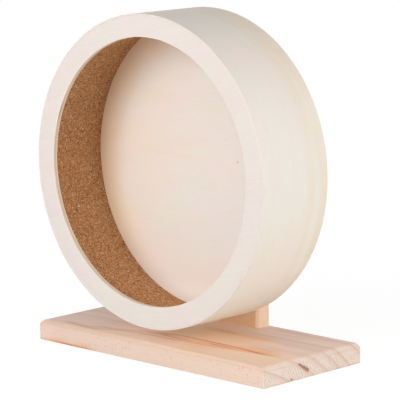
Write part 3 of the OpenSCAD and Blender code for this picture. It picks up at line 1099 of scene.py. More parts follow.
def cutWith(piece, cutters):
    for cutter in cutters:
        modifier = piece.modifiers.new("cut", "BOOLEAN")
        modifier.operation = "DIFFERENCE"
        modifier.solver = "EXACT"
        modifier.object = cutter
    takeResult(piece)
    for cutter in cutters:
        bpy.data.objects.remove(cutter)
    smooth(piece.data)


def dress(piece, material, body, slotName, *replaced):
    piece.data.materials.clear()
    piece.data.materials.append(material)
    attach(piece, body)
    if replaced:
        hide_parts(*replaced)


# Geometry node groups, each run once on a piece

def startGroup(name, inputs):
    tree = bpy.data.node_groups.new(name, "GeometryNodeTree")
    tree.interface.new_socket("Geometry", in_out="INPUT", socket_type="NodeSocketGeometry")
    for label, kind, value in inputs:
        socket = tree.interface.new_socket(label, in_out="INPUT", socket_type="NodeSocket" + kind)
        if value is not None:
            socket.default_value = value
    tree.interface.new_socket("Geometry", in_out="OUTPUT", socket_type="NodeSocketGeometry")
    work["tree"] = tree
    return addNode("NodeGroupInput").outputs, addNode("NodeGroupOutput")


def endGroup(geometry, entry, result):
    whole = addNode("GeometryNodeRealizeInstances", {"Geometry": geometry}).outputs[0]
    coated = addNode("GeometryNodeSetMaterial", {"Geometry": whole, "Material": entry["Finish"]})
    setInput(result, "Geometry", coated.outputs[0])
    return work["tree"]


def runGroup(piece, tree, values):
    modifier = piece.modifiers.new(tree.name, "NODES")
    modifier.node_group = tree
    for item in tree.interface.items_tree:
        if item.in_out == "INPUT" and item.name in values:
            modifier[item.identifier] = values[item.name]
    takeResult(piece)


# Front ring

ring = {
    "outer": 138.45,
    "opening": 119.5,
    "thickness": 4.5,
    "ease": 0.4,
    "outerEase": 0.15,
    "segments": 540,
    "plies": (0.0014, 0.0030),
    "cutRows": (3.9, 0.45, -0.2),
    "coreDrop": 0.05,
    "cutShare": 0.6,
    "cutFade": 0.2,
    "knotAngles": (151, 163),
    "knotDepth": 1.15,
    "knotHalfHeight": 0.55,
    "knotFade": 1.6,
}


def makeFrontRing(material):
    front, opening, outer = station["wheelFront"], ring["opening"], ring["outer"]
    back = front + ring["thickness"]
    corners = [(opening, front, ring["ease"]), (outer, front, ring["outerEase"])]
    outline = easedCorners(corners + [(outer, back, 0), (opening, back, ring["ease"])])
    # Rows down the cut edge, so that the core can lie a little lower than the faces
    frontGlue, rearGlue = ring["plies"]
    for depth in np.arange(*ring["cutRows"]):
        low = ring["coreDrop"] if frontGlue < depth * mm < rearGlue else 0.0
        outline.append((opening + low, front + depth))
    piece = turned("frontRing", outline, ring["segments"])
    radius, angle, y = roundAxle(piece)
    cut = np.clip((opening + ring["ease"] * ring["cutShare"] - radius) / ring["cutFade"], 0, 1)
    low, high = ring["knotAngles"]
    along = np.clip(1 - np.abs(angle - (low + high) / 2) / ((high - low) / 2), 0, 1) ** 0.5
    fromKnot = np.abs(y - front - ring["knotDepth"]) / ring["knotHalfHeight"]
    setAttribute(piece, "cutEdge", cut)
    setAttribute(piece, "knot", cut * along * np.clip(ring["knotFade"] * (1 - fromKnot), 0, 1))
    dress(piece, material, "wheel", "ring_plywood", "front_ring")


# Bent rim band

rim = {
    "outer": 140.0,
    "inner": 138.5,
    "ease": 0.45,
    "innerEase": 0.3,
    "leastEase": 0.01,
    "rows": 724,
    "pointsAcross": 9,
    "edgeMargin": 4,
    "scarf": 30.0,
    "scarfAngle": 214,
    "feather": 0.12,
    "glue": 0.03,
}


def makeRimBand(material):
    # One strip whose tapered ends lap over each other in a glued scarf
    front, rear = station["wheelFront"], station["wheelRear"]
    lap = rim["scarf"] / rim["outer"]
    thickness = rim["outer"] - rim["inner"]
    taper = thickness - rim["feather"]
    outerLine = np.linspace(front + rim["edgeMargin"], rear - rim["edgeMargin"], rim["pointsAcross"])
    rows, strip = [], []
    for angle in np.linspace(0, 2 * math.pi + lap, rim["rows"]):
        inner, outer = rim["inner"], rim["outer"]
        if angle < lap:
            outer = inner + rim["feather"] + taper * angle / lap - rim["glue"] * (1 - angle / lap)
        if angle > 2 * math.pi:
            inner += taper * (angle - 2 * math.pi) / lap + rim["glue"]
        share = min(1, (outer - inner) / thickness)
        ease = max(rim["ease"] * share, rim["leastEase"])
        innerEase = max(rim["innerEase"] * share, rim["leastEase"])
        corners = [(inner, front, innerEase), (outer, front, ease)]
        section = easedCorners(corners + [(outer, rear, ease), (inner, rear, innerEase)])
        half = len(section) // 2
        section = np.array(section[:half] + [(outer, y) for y in outerLine] + section[half:])
        rows.append(onAxle(section[:, 0], angle + math.radians(rim["scarfAngle"]), section[:, 1]))
        strip += [(angle * rim["outer"] * mm, (y - front) * mm, 0) for _, y in section]
    piece = skinRows("rimBand", rows, False, True)
    setAttribute(piece, "strip", np.array(strip))
    dress(piece, material, "wheel", "bent_plywood", "rim_band")


# Cork tread

cork = {
    "tread": 132.5,
    "outer": 138.45,
    "step": 1.1,
    "jointGap": 0.2,
    "backPoints": 5,
    "edgePoint": 2.5,
    "calmEdge": 0.5,
    "granule": 0.0026,
    "pitDepth": 0.35,
}


def makeCorkTread(material):
    tread, outer, front, rear = cork["tread"], cork["outer"], station["corkFront"], station["panelFront"]
    gap, between = cork["jointGap"] / 2, tread + cork["edgePoint"]
    across = np.linspace(front, rear, int((rear - front) / cork["step"]) + 1)
    section = [(tread, y) for y in across] + [(between, rear), (outer, rear)]
    section += [(outer, y) for y in np.linspace(rear, front, cork["backPoints"])[1:]] + [(between, front)]
    section = np.array(section)
    angles = np.radians(np.linspace(gap, 360 - gap, int(2 * math.pi * tread / cork["step"])))
    rows = [onAxle(section[:, 0], angle, section[:, 1]) for angle in angles]
    piece = skinRows("corkTread", rows, False, True)
    radius, _, y = roundAxle(piece)
    inner = np.clip((tread + 0.1 - radius) / 0.1, 0, 1)
    edge = np.minimum(y - front, rear - y)
    setAttribute(piece, "tread", inner * np.clip(edge / cork["calmEdge"], 0, 1))
    runGroup(piece, makeCorkRelief(), {"Pit depth": cork["pitDepth"] * mm, "Finish": material})
    dress(piece, material, "wheel", "cork", "cork_tread")


def makeCorkRelief():
    # Sinks each granule of the tread by its own depth
    sockets = [("Granule", "Float", cork["granule"]), ("Pit depth", "Float", 0.0003)]
    entry, result = startGroup("corkRelief", sockets + [("Finish", "Material", None)])
    position = addNode("GeometryNodeInputPosition").outputs[0]
    scaled = vectorMath("SCALE", {0: position, "Scale": calc("DIVIDE", 1.0, entry["Granule"])})
    tone = separate(cells(scaled)["Color"])[0]
    fine = noise(scaled, 2, 0.6, 0.0, 2.1)
    depth = times(plus(times(tone, 0.5), times(fine, 0.5)), entry["Pit depth"])
    mask = addNode("GeometryNodeInputNamedAttribute", {"Name": "tread"}, data_type="FLOAT").outputs
    normal = addNode("GeometryNodeInputNormal").outputs[0]
    offset = vectorMath("SCALE", {0: normal, "Scale": times(depth, mask["Attribute"], -1.0)})
    moved = addNode("GeometryNodeSetPosition", {"Geometry": entry["Geometry"], "Offset": offset}).outputs[0]
    return endGroup(moved, entry, result)


# Back panel

panel = {
    "edge": 138.45,
    "ease": 0.3,
    "rings": 24,
    "ringMargin": 0.4,
    "segments": 256,
}


def makeBackPanel(material):
    front, back, edge, ease = station["panelFront"], station["hubFront"], panel["edge"], panel["ease"]
    radii = np.linspace(0, edge - panel["ringMargin"], panel["rings"])
    corners = easedCorners([(0, front, 0), (edge, front, ease), (edge, back, ease), (0, back, 0)])[1:-1]
    stations = [(radius, front) for radius in radii] + corners + [(radius, back) for radius in radii[::-1]]
    piece = turned("backPanel", stations, panel["segments"], False)
    dress(piece, material, "wheel", "panel_plywood", "back_panel")


# Base board

board = {
    "length": 282 * mm,
    "width": 127 * mm,
    "thickness": 18.5 * mm,
    "chamfer": 3 * mm,
    "arris": 0.7 * mm,
    "grid": 0.7 * mm,
    "gridInset": 0.35 * mm,
}

# The ends' saw marks, as rows that slant across the end, and the lens-shaped pockets sunk into the end, whose
# shade is painted darker with depth:
# each from a place (y, z) to another, with its half width
endSaw = {
    "slant": (0.914, 0.406),
    "pitch": 0.0029,
    "depth": 0.00010,
    "waver": (1.5, 260),
    "tear": (500.0, 420.0, 100.0),
    "tearShift": 0.3,
    "patches": (60, 60, 60),
    "pockets": (
        ((-0.0236, 0.0172), (-0.0052, 0.0060), 0.0018),
        ((-0.0290, 0.0026), (-0.0236, -0.0008), 0.0011),
    ),
    "pocketDepth": 0.0008,
    "pocketSwell": 1.9,
    "pocketTaper": (1.3, 0.25),
    "pocketSides": (1.35, 0.8),
    "pocketLeast": 0.00035,
    "pocketFloor": 1.15,
    "pocketShade": 2.2,
    "ragged": ((0.28, 1900, 0), (0.16, 5300, 1)),
}


def boxShape(low, high):
    shape = bmesh.new()
    bmesh.ops.create_cube(shape, size=1)
    for vertex in shape.verts:
        for axis in range(3):
            vertex.co[axis] = (low[axis], high[axis])[vertex.co[axis] > 0]
    return shape


def sharpEdges(shape, limit=20):
    return [edge for edge in shape.edges if edge.calc_face_angle(0) > math.radians(limit)]


def pocketDepthAt(y, z):
    # How far inside the outline of a sunk pocket a point of the end lies, 0 to 1
    deepest = 0.0
    for (y0, z0), (y1, z1), halfWidth in endSaw["pockets"]:
        length = math.hypot(y1 - y0, z1 - z0)
        along = ((y - y0) * (y1 - y0) + (z - z0) * (z1 - z0)) / length
        off = ((y - y0) * (z1 - z0) - (z - z0) * (y1 - y0)) / length
        if not 0 < along < length:
            continue
        share = along / length
        ragged = 1
        for size, often, start in endSaw["ragged"]:
            ragged += size * math.sin(often * along + start)
        thin, blunt = endSaw["pocketTaper"]
        swell = endSaw["pocketSides"][0 if off > 0 else 1]
        outline = share ** thin * (1 - share) ** blunt * swell * ragged
        width = halfWidth * endSaw["pocketSwell"] * outline + endSaw["pocketLeast"]
        deepest = max(deepest, min(1.0, endSaw["pocketFloor"] * (1 - abs(off) / width)))
    return deepest


def grainEnd(shape, side):
    # Swaps the flat end for a fine sheet that carries the saw marks and the pockets
    end = max(shape.faces, key=lambda face: face.calc_center_median().x * side)
    outer = list(end.verts)
    flatX = outer[0].co.x
    outline = [(vertex.co.y, vertex.co.z) for vertex in outer]
    count = len(outline)
    step, inset = board["grid"], board["gridInset"]
    gridY, gridZ = [np.arange(min(line) + inset, max(line) - inset, step) for line in zip(*outline)]
    places = [Vector(place) for place in outline + [(y, z) for y in gridY for z in gridZ]]
    border = [(index, (index + 1) % count) for index in range(count)]
    points, _, triangles, *_ = delaunay_2d_cdt(places, border, [list(range(count))], 1, 1e-7)
    bmesh.ops.delete(shape, geom=[end], context="FACES_ONLY")
    pocketLayer = shape.verts.layers.float["pocket"]
    rowY, rowZ = endSaw["slant"]
    swing, often = endSaw["waver"]
    made = outer[:]
    for y, z in points[count:]:
        pocket = pocketDepthAt(y, z) if side > 0 else 0.0
        row = math.sin(2 * math.pi * (rowY * y + rowZ * z) / endSaw["pitch"] + swing * math.sin(y * often))
        low = endSaw["depth"] * (0.5 + 0.5 * row) + endSaw["pocketDepth"] * pocket
        vertex = shape.verts.new((flatX - side * low, y, z))
        vertex[pocketLayer] = min(1.0, pocket * endSaw["pocketShade"])
        made.append(vertex)
    for triangle in triangles:
        corners = [made[index] for index in triangle]
        if not shape.faces.get(corners):
            shape.faces.new(corners)


# Screws and dowels come up from the board into the upright. A hole is given as its radius and the height
# over the screw's seat.
fixings = {
    "lineY": 52.0,
    "screwX": 12.0,
    "screwSeat": 0.5,
    "screwLength": 50.0,
    "screwHole": ((4.32, -2.5), (4.32, 0.4), (2.27, 2.6), (2.27, 50.5)),
    "dowelX": 25.0,
    "dowelLow": 8.5,
    "dowelLength": 30.0,
    "dowelHole": 4.02,
    "dowelPlay": 0.5,
}


def drill(name, x, hole):
    stations = [(0, hole[0][1]), *hole, (0, hole[-1][1])]
    return standing(name, stations, 48, (x, fixings["lineY"]), False, 32)


def fixingHoles():
    cutters = []
    screwHole = [(radius, fixings["screwSeat"] + z) for radius, z in fixings["screwHole"]]
    low = fixings["dowelLow"] - fixings["dowelPlay"]
    high = fixings["dowelLow"] + fixings["dowelLength"] + fixings["dowelPlay"]
    dowelHole = [(fixings["dowelHole"], low), (fixings["dowelHole"], high)]
    for side in (-1, 1):
        cutters.append(drill("screwHole", side * fixings["screwX"], screwHole))
        cutters.append(drill("dowelHole", side * fixings["dowelX"], dowelHole))
    return cutters


def makeBaseBoard(material):
    halfLength, halfWidth, height = board["length"] / 2, board["width"] / 2, board["thickness"]
    shape = boxShape((-halfLength, -halfWidth, 0), (halfLength, halfWidth, height))
    top = [edge for edge in shape.edges if all(vertex.co.z > height / 2 for vertex in edge.verts)]
    bmesh.ops.bevel(shape, geom=top, offset=board["chamfer"], segments=1, affect="EDGES")
    edges = sharpEdges(shape)
    bmesh.ops.bevel(shape, geom=edges, offset=board["arris"], segments=3, profile=0.5, affect="EDGES")
    shape.verts.layers.float.new("pocket")
    for side in (-1, 1):
        grainEnd(shape, side)
    piece = finishShape("baseBoard", shape)
    cutWith(piece, fixingHoles())
    dress(piece, material, "stand", "pine_board", "base_board")


# Upright

post = {
    "width": 70.0,
    "top": 203.0,
    "chamfer": 2.6 * mm,
    "arris": 0.3 * mm,
    "rearEase": 0.6 * mm,
    "rearStrip": 1.5 * mm,
    "bearingSeat": 11.02,
    "seatMouth": 11.25,
    "mouthDepth": 0.23,
    "land": 9.0,
}


def uprightShape():
    # The corners that the cuts along the front, side and top edges leave; the rear edges are only eased
    half, cut, ease = post["width"] / 2 * mm, post["chamfer"], post["rearEase"]
    front, rear = station["uprightFront"] * mm, station["uprightRear"] * mm
    low, high = board["thickness"], post["top"] * mm
    corners = (
        (half - cut, front, high - cut), (half, front + cut, high - cut), (half - cut, front + cut, high),
        (half - cut / 2, front + cut / 2, high - cut / 2), (half - cut, front, low), (half, front + cut, low),
        (half - ease, rear, high - cut + ease), (half - cut + ease, rear, high - ease),
        (half, rear - ease, high - cut), (half - cut, rear - ease, high), (half - ease, rear, low),
        (half, rear - ease, low),
    )
    shape = bmesh.new()
    for side in (-1, 1):
        for x, y, z in corners:
            shape.verts.new((side * x, y, z))
    bmesh.ops.convex_hull(shape, input=shape.verts)
    bmesh.ops.dissolve_limit(shape, angle_limit=0.01, verts=shape.verts, edges=shape.edges)
    floor, behind = low + 0.01 * mm, rear - post["rearStrip"]
    soft = []
    for edge in sharpEdges(shape):
        inFront = all(vertex.co.y < behind for vertex in edge.verts)
        onFloor = all(vertex.co.z < floor for vertex in edge.verts)
        if inFront and not onFloor:
            soft.append(edge)
    settings = {"segments": 2, "profile": 0.5, "affect": "EDGES", "clamp_overlap": True}
    bmesh.ops.bevel(shape, geom=soft, offset=post["arris"], **settings)
    return shape


def makeUpright(material):
    piece = finishShape("uprightPost", uprightShape())
    front, rear = station["uprightFront"], station["uprightRear"]
    seat, mouth, lead, land = post["bearingSeat"], post["seatMouth"], post["mouthDepth"], post["land"]
    frontHalf = [(0, front - past), (mouth, front - past), (mouth, front), (seat, front + lead)]
    frontHalf += [(seat, station["spacerFront"]), (land, station["spacerFront"])]
    rearHalf = [(radius, front + rear - y) for radius, y in frontHalf[::-1]]
    cutWith(piece, fixingHoles() + [turned("bearingBore", frontHalf + rearHalf, 96, False)])
    dress(piece, material, "stand", "pine_upright", "upright")


# Hub block

hub = {
    "radius": 40.0,
    "ease": 0.4,
    "chamfer": 2.0,
    "chamferEase": 0.6,
    "segments": 160,
    "pocketDepth": 7.5,
    "pocketHalfFlats": 6.7,
    "bore": 4.1,
}


def makeHubBlock(material):
    front, rear, radius = station["hubFront"], station["hubRear"], hub["radius"]
    chamfer, ease = hub["chamfer"], hub["chamferEase"]
    corners = [(0, front, 0), (radius, front, hub["ease"])]
    corners += [(radius, rear - chamfer, ease), (radius - chamfer, rear, ease), (0, rear, 0)]
    piece = turned("hubBlock", easedCorners(corners), hub["segments"], False)
    acrossCorners = hub["pocketHalfFlats"] / math.cos(math.radians(30))
    pocket = plug("pocket", acrossCorners, front - past, front + hub["pocketDepth"], 6)
    cutWith(piece, [pocket, plug("bore", hub["bore"], front - past, rear + past)])
    dress(piece, material, "wheel", "beech", "hub_block")


# Axle bolt and nuts

thread = {
    "crest": 3.98,
    "depth": 0.66,
    "pitch": 1.25,
    "step": 0.125,
    "runOut": (23.2, 25.0),
    "play": 0.03,
    "mouth": 4.35,
    "crestShare": 0.12,
    "flankShare": 0.7,
}

hexagon = {
    "acrossFlats": 13.0,
    "faceShare": 0.94,
    "cornerCap": 7.45,
    "segments": 144,
}


def threadRadius(angle, y, play=0.0):
    # The bolt's rolled thread; its mates use the same line with a little play
    turn = (y / thread["pitch"] - angle / (2 * math.pi)) % 1
    fall = np.clip((np.abs(turn - 0.5) * 2 - thread["crestShare"]) / thread["flankShare"], 0, 1)
    fall = fall * fall * (3 - 2 * fall)
    first, last = thread["runOut"]
    return thread["crest"] - thread["depth"] * fall * np.clip((y - first) / (last - first), 0, 1) + play


def hexRadius(angle):
    part = np.mod(angle, math.pi / 3) - math.pi / 6
    return np.minimum(hexagon["acrossFlats"] / 2 / np.cos(part), hexagon["cornerCap"])


def hexFace(angle, y, inward):
    # The turned-down corners at one face: the face's circle and the line where it meets the flats
    flat = hexagon["acrossFlats"] / 2 * hexagon["faceShare"]
    full = hexRadius(angle)
    return [(flat, y), (full, y + inward * (full - flat) * math.tan(math.radians(30)))]


def hexPrism(angle, front, rear):
    return hexFace(angle, front, 1) + hexFace(angle, rear, -1)[::-1]


def threadedBore(angle, start, end, mouth):
    # Rows down a threaded bore, opened to the mouth's radius at both ends
    rows = []
    for y in np.linspace(start, end, int(round(abs(end - start) / thread["step"])) + 1):
        depth = min(abs(y - start), abs(y - end))
        rows.append((np.maximum(threadRadius(angle, y, thread["play"]), mouth - depth), y))
    return rows


bolt = {
    "washerFace": 0.15,
    "washerRadii": (6.2, 6.15),
    "neckPlay": 0.02,
    "threadFrom": 0.2,
    "point": 0.8,
}


def makeAxleBolt(material):
    angle = allRound(hexagon["segments"])
    rear, end, crest, point = station["headRear"], station["boltEnd"], thread["crest"], bolt["point"]
    seat = rear - bolt["washerFace"]
    washerFoot, washerEdge = bolt["washerRadii"]
    stations = hexFace(angle, station["headFront"], 1)
    stations += [(hexRadius(angle), seat), (washerFoot, seat), (washerEdge, rear)]
    stations.append((crest - bolt["neckPlay"], rear))
    for y in np.arange(rear + bolt["threadFrom"], end + 0.01, thread["step"]):
        cone = max(crest + end - point - y, crest - point)
        stations.append((np.minimum(threadRadius(angle, y), cone), min(y, end)))
    piece = turned("axleBolt", stations, hexagon["segments"], False, sharpAngle=50, capEnds=True)
    dress(piece, material, "wheel", "zinc_steel", "axle_bolt")


def makeHubNut(material):
    front, rear = station["hubNutFront"], station["sleeveFront"]
    angle = allRound(hexagon["segments"])
    stations = hexPrism(angle, front, rear) + threadedBore(angle, rear, front, thread["mouth"])
    piece = turned("hubNut", stations, hexagon["segments"], sharpAngle=50)
    dress(piece, material, "wheel", "zinc_steel", "hub_nut")


lockNut = {
    "hexHeight": 5.8,
    "collar": 5.9,
    "collarFoot": (0.1, 0.15),
    "roll": 0.5,
    "rollRows": 7,
    "rear": 70.6,
    "mouth": 4.7,
    "mouthEase": 0.1,
    "seat": 68.5,
    "pocket": 5.2,
    "pocketPlay": 0.03,
    "insertRadius": 5.18,
    "insertHeight": 1.7,
    "insertEases": (0.1, 0.15),
    "insertMouth": 4.15,
}


def makeLockNut(material, nylon):
    spec = lockNut
    angle = allRound(hexagon["segments"])
    front, rear, collar, roll = station["lockNutFront"], spec["rear"], spec["collar"], spec["roll"]
    shoulder = front + spec["hexHeight"]
    out, up = spec["collarFoot"]
    stations = hexPrism(angle, front, shoulder) + [(collar + out, shoulder), (collar, shoulder + up)]
    # The collar's rim is rolled over the insert
    for turn in np.linspace(0, math.pi / 2, spec["rollRows"]):
        stations.append((collar - roll + roll * math.cos(turn), rear - roll + roll * math.sin(turn)))
    mouth, ease, pocket, play = spec["mouth"], spec["mouthEase"], spec["pocket"], spec["pocketPlay"]
    low, high = spec["seat"], spec["seat"] + spec["insertHeight"]
    stations += [(mouth + ease, rear), (mouth, rear - ease), (mouth, high + play), (pocket, high + play)]
    stations += [(pocket, low - play)] + threadedBore(angle, low - play, front, thread["mouth"])
    piece = turned("lockNut", stations, hexagon["segments"], sharpAngle=50)
    dress(piece, material, "wheel", "zinc_steel", "lock_nut")

    radius = spec["insertRadius"]
    small, big = spec["insertEases"]
    stations = [(radius - small, low), (radius, low + small), (radius, high - big), (radius - big, high)]
    stations += threadedBore(angle, high, low, spec["insertMouth"])
    piece = turned("lockNutInsert", stations, hexagon["segments"], sharpAngle=50)
    dress(piece, nylon, "wheel", "nylon", "lock_nut_insert")


# Washers, sleeve, spacer and shim: the bore and the outer radius, the stations between which each lies and
# its corners' eases, from the bore's front round to its rear. Washers are rounder where the punch met them.
turnedRings = {
    "hub_washer": (4.1, 12, "hubRear", "hubNutFront", (0.08, 0.1, 0.4, 0.3)),
    "front_sleeve": (4.0, 5.75, "sleeveFront", "uprightFront", (0.25, 0.25, 0.25, 0.25)),
    "bearing_spacer": (4.0, 5.75, "spacerFront", "spacerRear", (0.15, 0.15, 0.15, 0.15)),
    "rear_shim": (4.0, 5.75, "uprightRear", "washerFront", (0.08, 0.08, 0.15, 0.15)),
    "rear_washer": (4.1, 8.0, "washerFront", "lockNutFront", (0.3, 0.35, 0.1, 0.08)),
}
ringSegments = 128


def makeWashersAndSleeves(material):
    for node, (bore, outer, front, rear, eases) in turnedRings.items():
        front, rear = station[front], station[rear]
        places = ((bore, front), (outer, front), (outer, rear), (bore, rear))
        corners = [(*place, ease) for place, ease in zip(places, eases)]
        first, *rest = node.split("_")
        name = first + "".join(word.title() for word in rest)
        piece = turned(name, easedCorners(corners), ringSegments, sharpAngle=50)
        dress(piece, material, "wheel", "zinc_steel", node)


# Ball bearings; outlines are (radius, y, ease) from the bearing's own front face
bearing = {
    "places": {"front": station["uprightFront"], "rear": station["spacerRear"]},
    "width": 7,
    "grooveRadius": 2.06,
    "grooveRows": 19,
    "outerGroove": (7.44, 9.0),
    "innerGroove": (7.56, 6.05),
    "outerRace": (
        (9.0, 0.9, 0.03), (9.6, 0.9, 0), (9.6, 0, 0.08), (11, 0, 0.35), (11, 7, 0.35), (9.6, 7, 0.08),
        (9.6, 6.1, 0), (9.0, 6.1, 0.03),
    ),
    "innerRace": ((6.05, 0, 0.12), (4.0, 0, 0.3), (4.0, 7, 0.3), (6.05, 7, 0.12)),
    "shield": (
        (6.35, 0.9, 0.1), (6.35, 0.6, 0.1), (6.85, 0.6, 0.12), (7.05, 0.42, 0.12), (8.55, 0.42, 0.12),
        (8.75, 0.6, 0.12), (9.28, 0.6, 0.1), (9.28, 0.15, 0.05), (9.58, 0.15, 0.12), (9.58, 0.9, 0.15),
        (8.63, 0.9, 0.12), (8.43, 0.72, 0.12), (7.17, 0.72, 0.12), (6.97, 0.9, 0.12),
    ),
    "ballRadius": 1.985,
    "ballCount": 7,
    "ballPitch": 7.5,
    "rivetRadius": 0.42,
    "rivetStretch": (1, 1, 1.3),
    "segments": 128,
}


def grooveLine(centre, land):
    # The ball groove of a race, from its rear lip to its front lip
    radius = bearing["grooveRadius"]
    lip = math.acos(abs(land - centre) / radius)
    side, middle = math.copysign(radius, land - centre), bearing["width"] / 2
    turns = np.linspace(lip, -lip, bearing["grooveRows"])
    return [(centre + side * math.cos(turn), middle + radius * math.sin(turn)) for turn in turns]


def joined(name, pieces):
    shape = bmesh.new()
    for piece in pieces:
        shape.from_mesh(piece.data)
        bpy.data.objects.remove(piece)
    return finishShape(name, shape, 40)


def roundBall(name, radius, stretch=(1, 1, 1), segments=40):
    shape = bmesh.new()
    bmesh.ops.create_uvsphere(shape, u_segments=segments, v_segments=segments // 2, radius=radius)
    bmesh.ops.scale(shape, vec=stretch, verts=shape.verts)
    return finishShape(name, shape, 60)


def makeBearing(side, copies, finishes):
    front, width, count = bearing["places"][side], bearing["width"], bearing["ballCount"]
    cage, steel, sheet = side + "_cage", finishes["bearing_steel"], finishes["pressed_steel"]
    for part, body in (("outer", "stand"), ("inner", "wheel")):
        outline = easedCorners(bearing[part + "Race"]) + grooveLine(*bearing[part + "Groove"])
        stations = [(radius, front + y) for radius, y in outline]
        piece = turned(side + part.title() + "Race", stations, bearing["segments"], sharpAngle=25)
        dress(piece, steel, body, "bearing_steel", side + "_bearing_" + part + "_race")

    outline = easedCorners(bearing["shield"], 3)
    discs = []
    for place, way in ((front, 1), (front + width, -1)):
        stations = [(radius, place + way * y) for radius, y in outline]
        discs.append(turned("disc", stations, bearing["segments"]))
    piece = joined(side + "Shields", discs)
    dress(piece, sheet, "stand", "pressed_steel", side + "_bearing_shields")

    circle = {"Count": count, "Tilt": math.pi / 2, "Radius": bearing["ballPitch"] * mm}
    circle["Place"] = (0, (front + width / 2) * mm, axleHeight)
    piece = roundBall(side + "Balls", bearing["ballRadius"] * mm)
    runGroup(piece, copies, {**circle, "Finish": finishes["ball_steel"]})
    dress(piece, finishes["ball_steel"], cage, "ball_steel", side + "_bearing_balls")
    # A rivet holds the cage's two halves together between each two balls
    piece = roundBall(side + "CageRivets", bearing["rivetRadius"] * mm, bearing["rivetStretch"], 16)
    runGroup(piece, copies, {**circle, "Turn": math.pi / count, "Finish": sheet})
    dress(piece, sheet, cage, "pressed_steel")


def makeCopiesGroup():
    # Places copies evenly on a circle, tilted about X; two copies make a pair on the X axis
    sockets = (
        ("Count", "Int", 2),
        ("Radius", "Float", 0.01),
        ("Turn", "Float", 0.0),
        ("Tilt", "Float", 0.0),
        ("Place", "Vector", None),
        ("Finish", "Material", None),
    )
    entry, result = startGroup("copiesOnCircle", sockets)
    index = addNode("GeometryNodeInputIndex").outputs[0]
    angle = timesPlus(calc("DIVIDE", index, entry["Count"]), 2 * math.pi, entry["Turn"])
    x, y = [times(calc(wave, angle), entry["Radius"]) for wave in ("COSINE", "SINE")]
    inputs = {"Count": entry["Count"], "Position": combine(x, y, 0.0)}
    points = addNode("GeometryNodePoints", inputs).outputs[0]
    inputs = {"Points": points, "Instance": entry["Geometry"]}
    copies = addNode("GeometryNodeInstanceOnPoints", inputs).outputs[0]
    inputs = {"Geometry": copies, "Translation": entry["Place"], "Rotation": combine(entry["Tilt"], 0.0, 0.0)}
    return endGroup(addNode("GeometryNodeTransform", inputs).outputs[0], entry, result)


# Screws and dowels of the stand

screw = {
    "head": 4.3,
    "headEase": 0.1,
    "edge": 0.4,
    "neck": (2.32, 2.45),
    "shank": (1.75, 3.0),
    "smooth": 14.0,
    "core": 1.45,
    "crest": 2.25,
    "pitch": 2.1,
    "ridgeShare": 0.42,
    "runOut": 2.5,
    "tip": 6.0,
    "leastTaper": 0.04,
    "step": 0.1,
    "point": 0.02,
    "segments": 48,
}

# The cross in a screw's head: height, arm and half width, from past the face up to its floor
crossSections = ((-0.3, 2.35, 0.47), (0, 2.3, 0.45), (1.9, 1.0, 0.36))

dowel = {
    "radius": 4.0,
    "edge": 0.8,
    "edgeRows": (0, 0.12, 0.4, 0.8),
    "edgeCurve": (0.9, 0.1),
    "flutes": 18,
    "fluteDepth": 0.22,
    "segments": 144,
}


def makeStandScrews(material, copies):
    spec = screw
    length, smoothEnd, head, step = fixings["screwLength"], spec["smooth"], spec["head"], spec["step"]
    shank, shankStart = spec["shank"]
    angle = allRound(spec["segments"])
    stations = [(head - spec["headEase"], 0), (head, spec["headEase"]), (head, spec["edge"]), spec["neck"]]
    stations += [(shank, shankStart), (shank, smoothEnd)]
    for z in np.arange(smoothEnd + step, length, step):
        turn = (z / spec["pitch"] - angle / (2 * math.pi)) % 1
        ridge = np.clip(1 - np.abs(turn - 0.5) * 2 / spec["ridgeShare"], 0, 1)
        ridge *= min(1, (z - smoothEnd) / spec["runOut"])
        taper = max(min(1, (length - z) / spec["tip"]), spec["leastTaper"])
        stations.append(((spec["core"] + (spec["crest"] - spec["core"]) * ridge) * taper, z))
    stations.append((spec["point"], length - spec["point"]))
    piece = standing("standScrews", stations, spec["segments"])
    cutWith(piece, [crossRecess()])
    place = (0, fixings["lineY"] * mm, fixings["screwSeat"] * mm)
    pair = {"Count": 2, "Radius": fixings["screwX"] * mm, "Place": place, "Finish": material}
    runGroup(piece, copies, pair)
    dress(piece, material, "stand", "zinc_steel", "stand_screws")


def crossRecess():
    # A cross that narrows as it goes up into the head
    rows = []
    for z, arm, half in crossSections:
        quarter = [(arm, half), (half, half), (half, arm), (-half, arm), (-half, half), (-arm, half)]
        line = quarter + [(-x, -y) for x, y in quarter]
        rows.append([(x * mm, y * mm, z * mm) for x, y in line])
    return skinRows("crossRecess", rows, False, True)


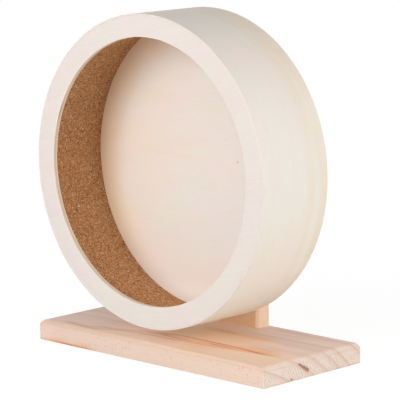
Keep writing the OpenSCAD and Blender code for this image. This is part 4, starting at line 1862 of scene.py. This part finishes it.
def makeStandDowels(material, copies):
    spec = dowel
    length = fixings["dowelLength"]
    angle = allRound(spec["segments"])
    fluted = spec["radius"] - spec["fluteDepth"] * (0.5 + 0.5 * np.cos(spec["flutes"] * angle)) ** 3
    lower = list(spec["edgeRows"])
    straight, bent = spec["edgeCurve"]
    stations = []
    for z in lower + [length / 2] + [length - z for z in lower[::-1]]:
        fromEnd = min(z, length - z)
        rounded = spec["radius"] - spec["edge"] + straight * fromEnd + bent * math.sqrt(fromEnd)
        stations.append((np.minimum(fluted, rounded), z))
    piece = standing("standDowels", stations, spec["segments"], sharpAngle=40)
    place = (0, fixings["lineY"] * mm, fixings["dowelLow"] * mm)
    pair = {"Count": 2, "Radius": fixings["dowelX"] * mm, "Place": place, "Finish": material}
    runGroup(piece, copies, pair)
    dress(piece, material, "stand", "beech", "stand_dowels")


# The scene

addCamera()
addLamps()
addFloorAndWorld()
print("studio ready")

finishes = {
    "pine_board": makeBoardPine(),
    "pine_upright": makeUprightPine(),
    "beech": makeBeech(),
    "ring_plywood": makeRingPlywood(),
    "bent_plywood": makeBentPlywood(),
    "panel_plywood": makePanelPlywood(),
    "cork": makeCork(),
    "nylon": makeNylon(),
}
for slotName, steel in steels.items():
    finishes[slotName] = makeSteel(*steel)
for subpart in frame["record"]["subparts"]:
    mesh = nodes[subpart["node"]].data
    mesh.materials.clear()
    mesh.materials.append(finishes[subpart["material_slot"]])
print("finishes ready")

makeFrontRing(finishes["ring_plywood"])
makeRimBand(finishes["bent_plywood"])
makeCorkTread(finishes["cork"])
makeBackPanel(finishes["panel_plywood"])
print("drum made")
makeBaseBoard(finishes["pine_board"])
makeUpright(finishes["pine_upright"])
makeHubBlock(finishes["beech"])
print("stand and hub made")
copiesGroup = makeCopiesGroup()
makeStandScrews(finishes["zinc_steel"], copiesGroup)
makeStandDowels(finishes["beech"], copiesGroup)
makeAxleBolt(finishes["zinc_steel"])
makeHubNut(finishes["zinc_steel"])
makeLockNut(finishes["zinc_steel"], finishes["nylon"])
makeWashersAndSleeves(finishes["zinc_steel"])
for side in bearing["places"]:
    makeBearing(side, copiesGroup, finishes)
print("hardware made")

scene.view_settings.view_transform = "Standard"
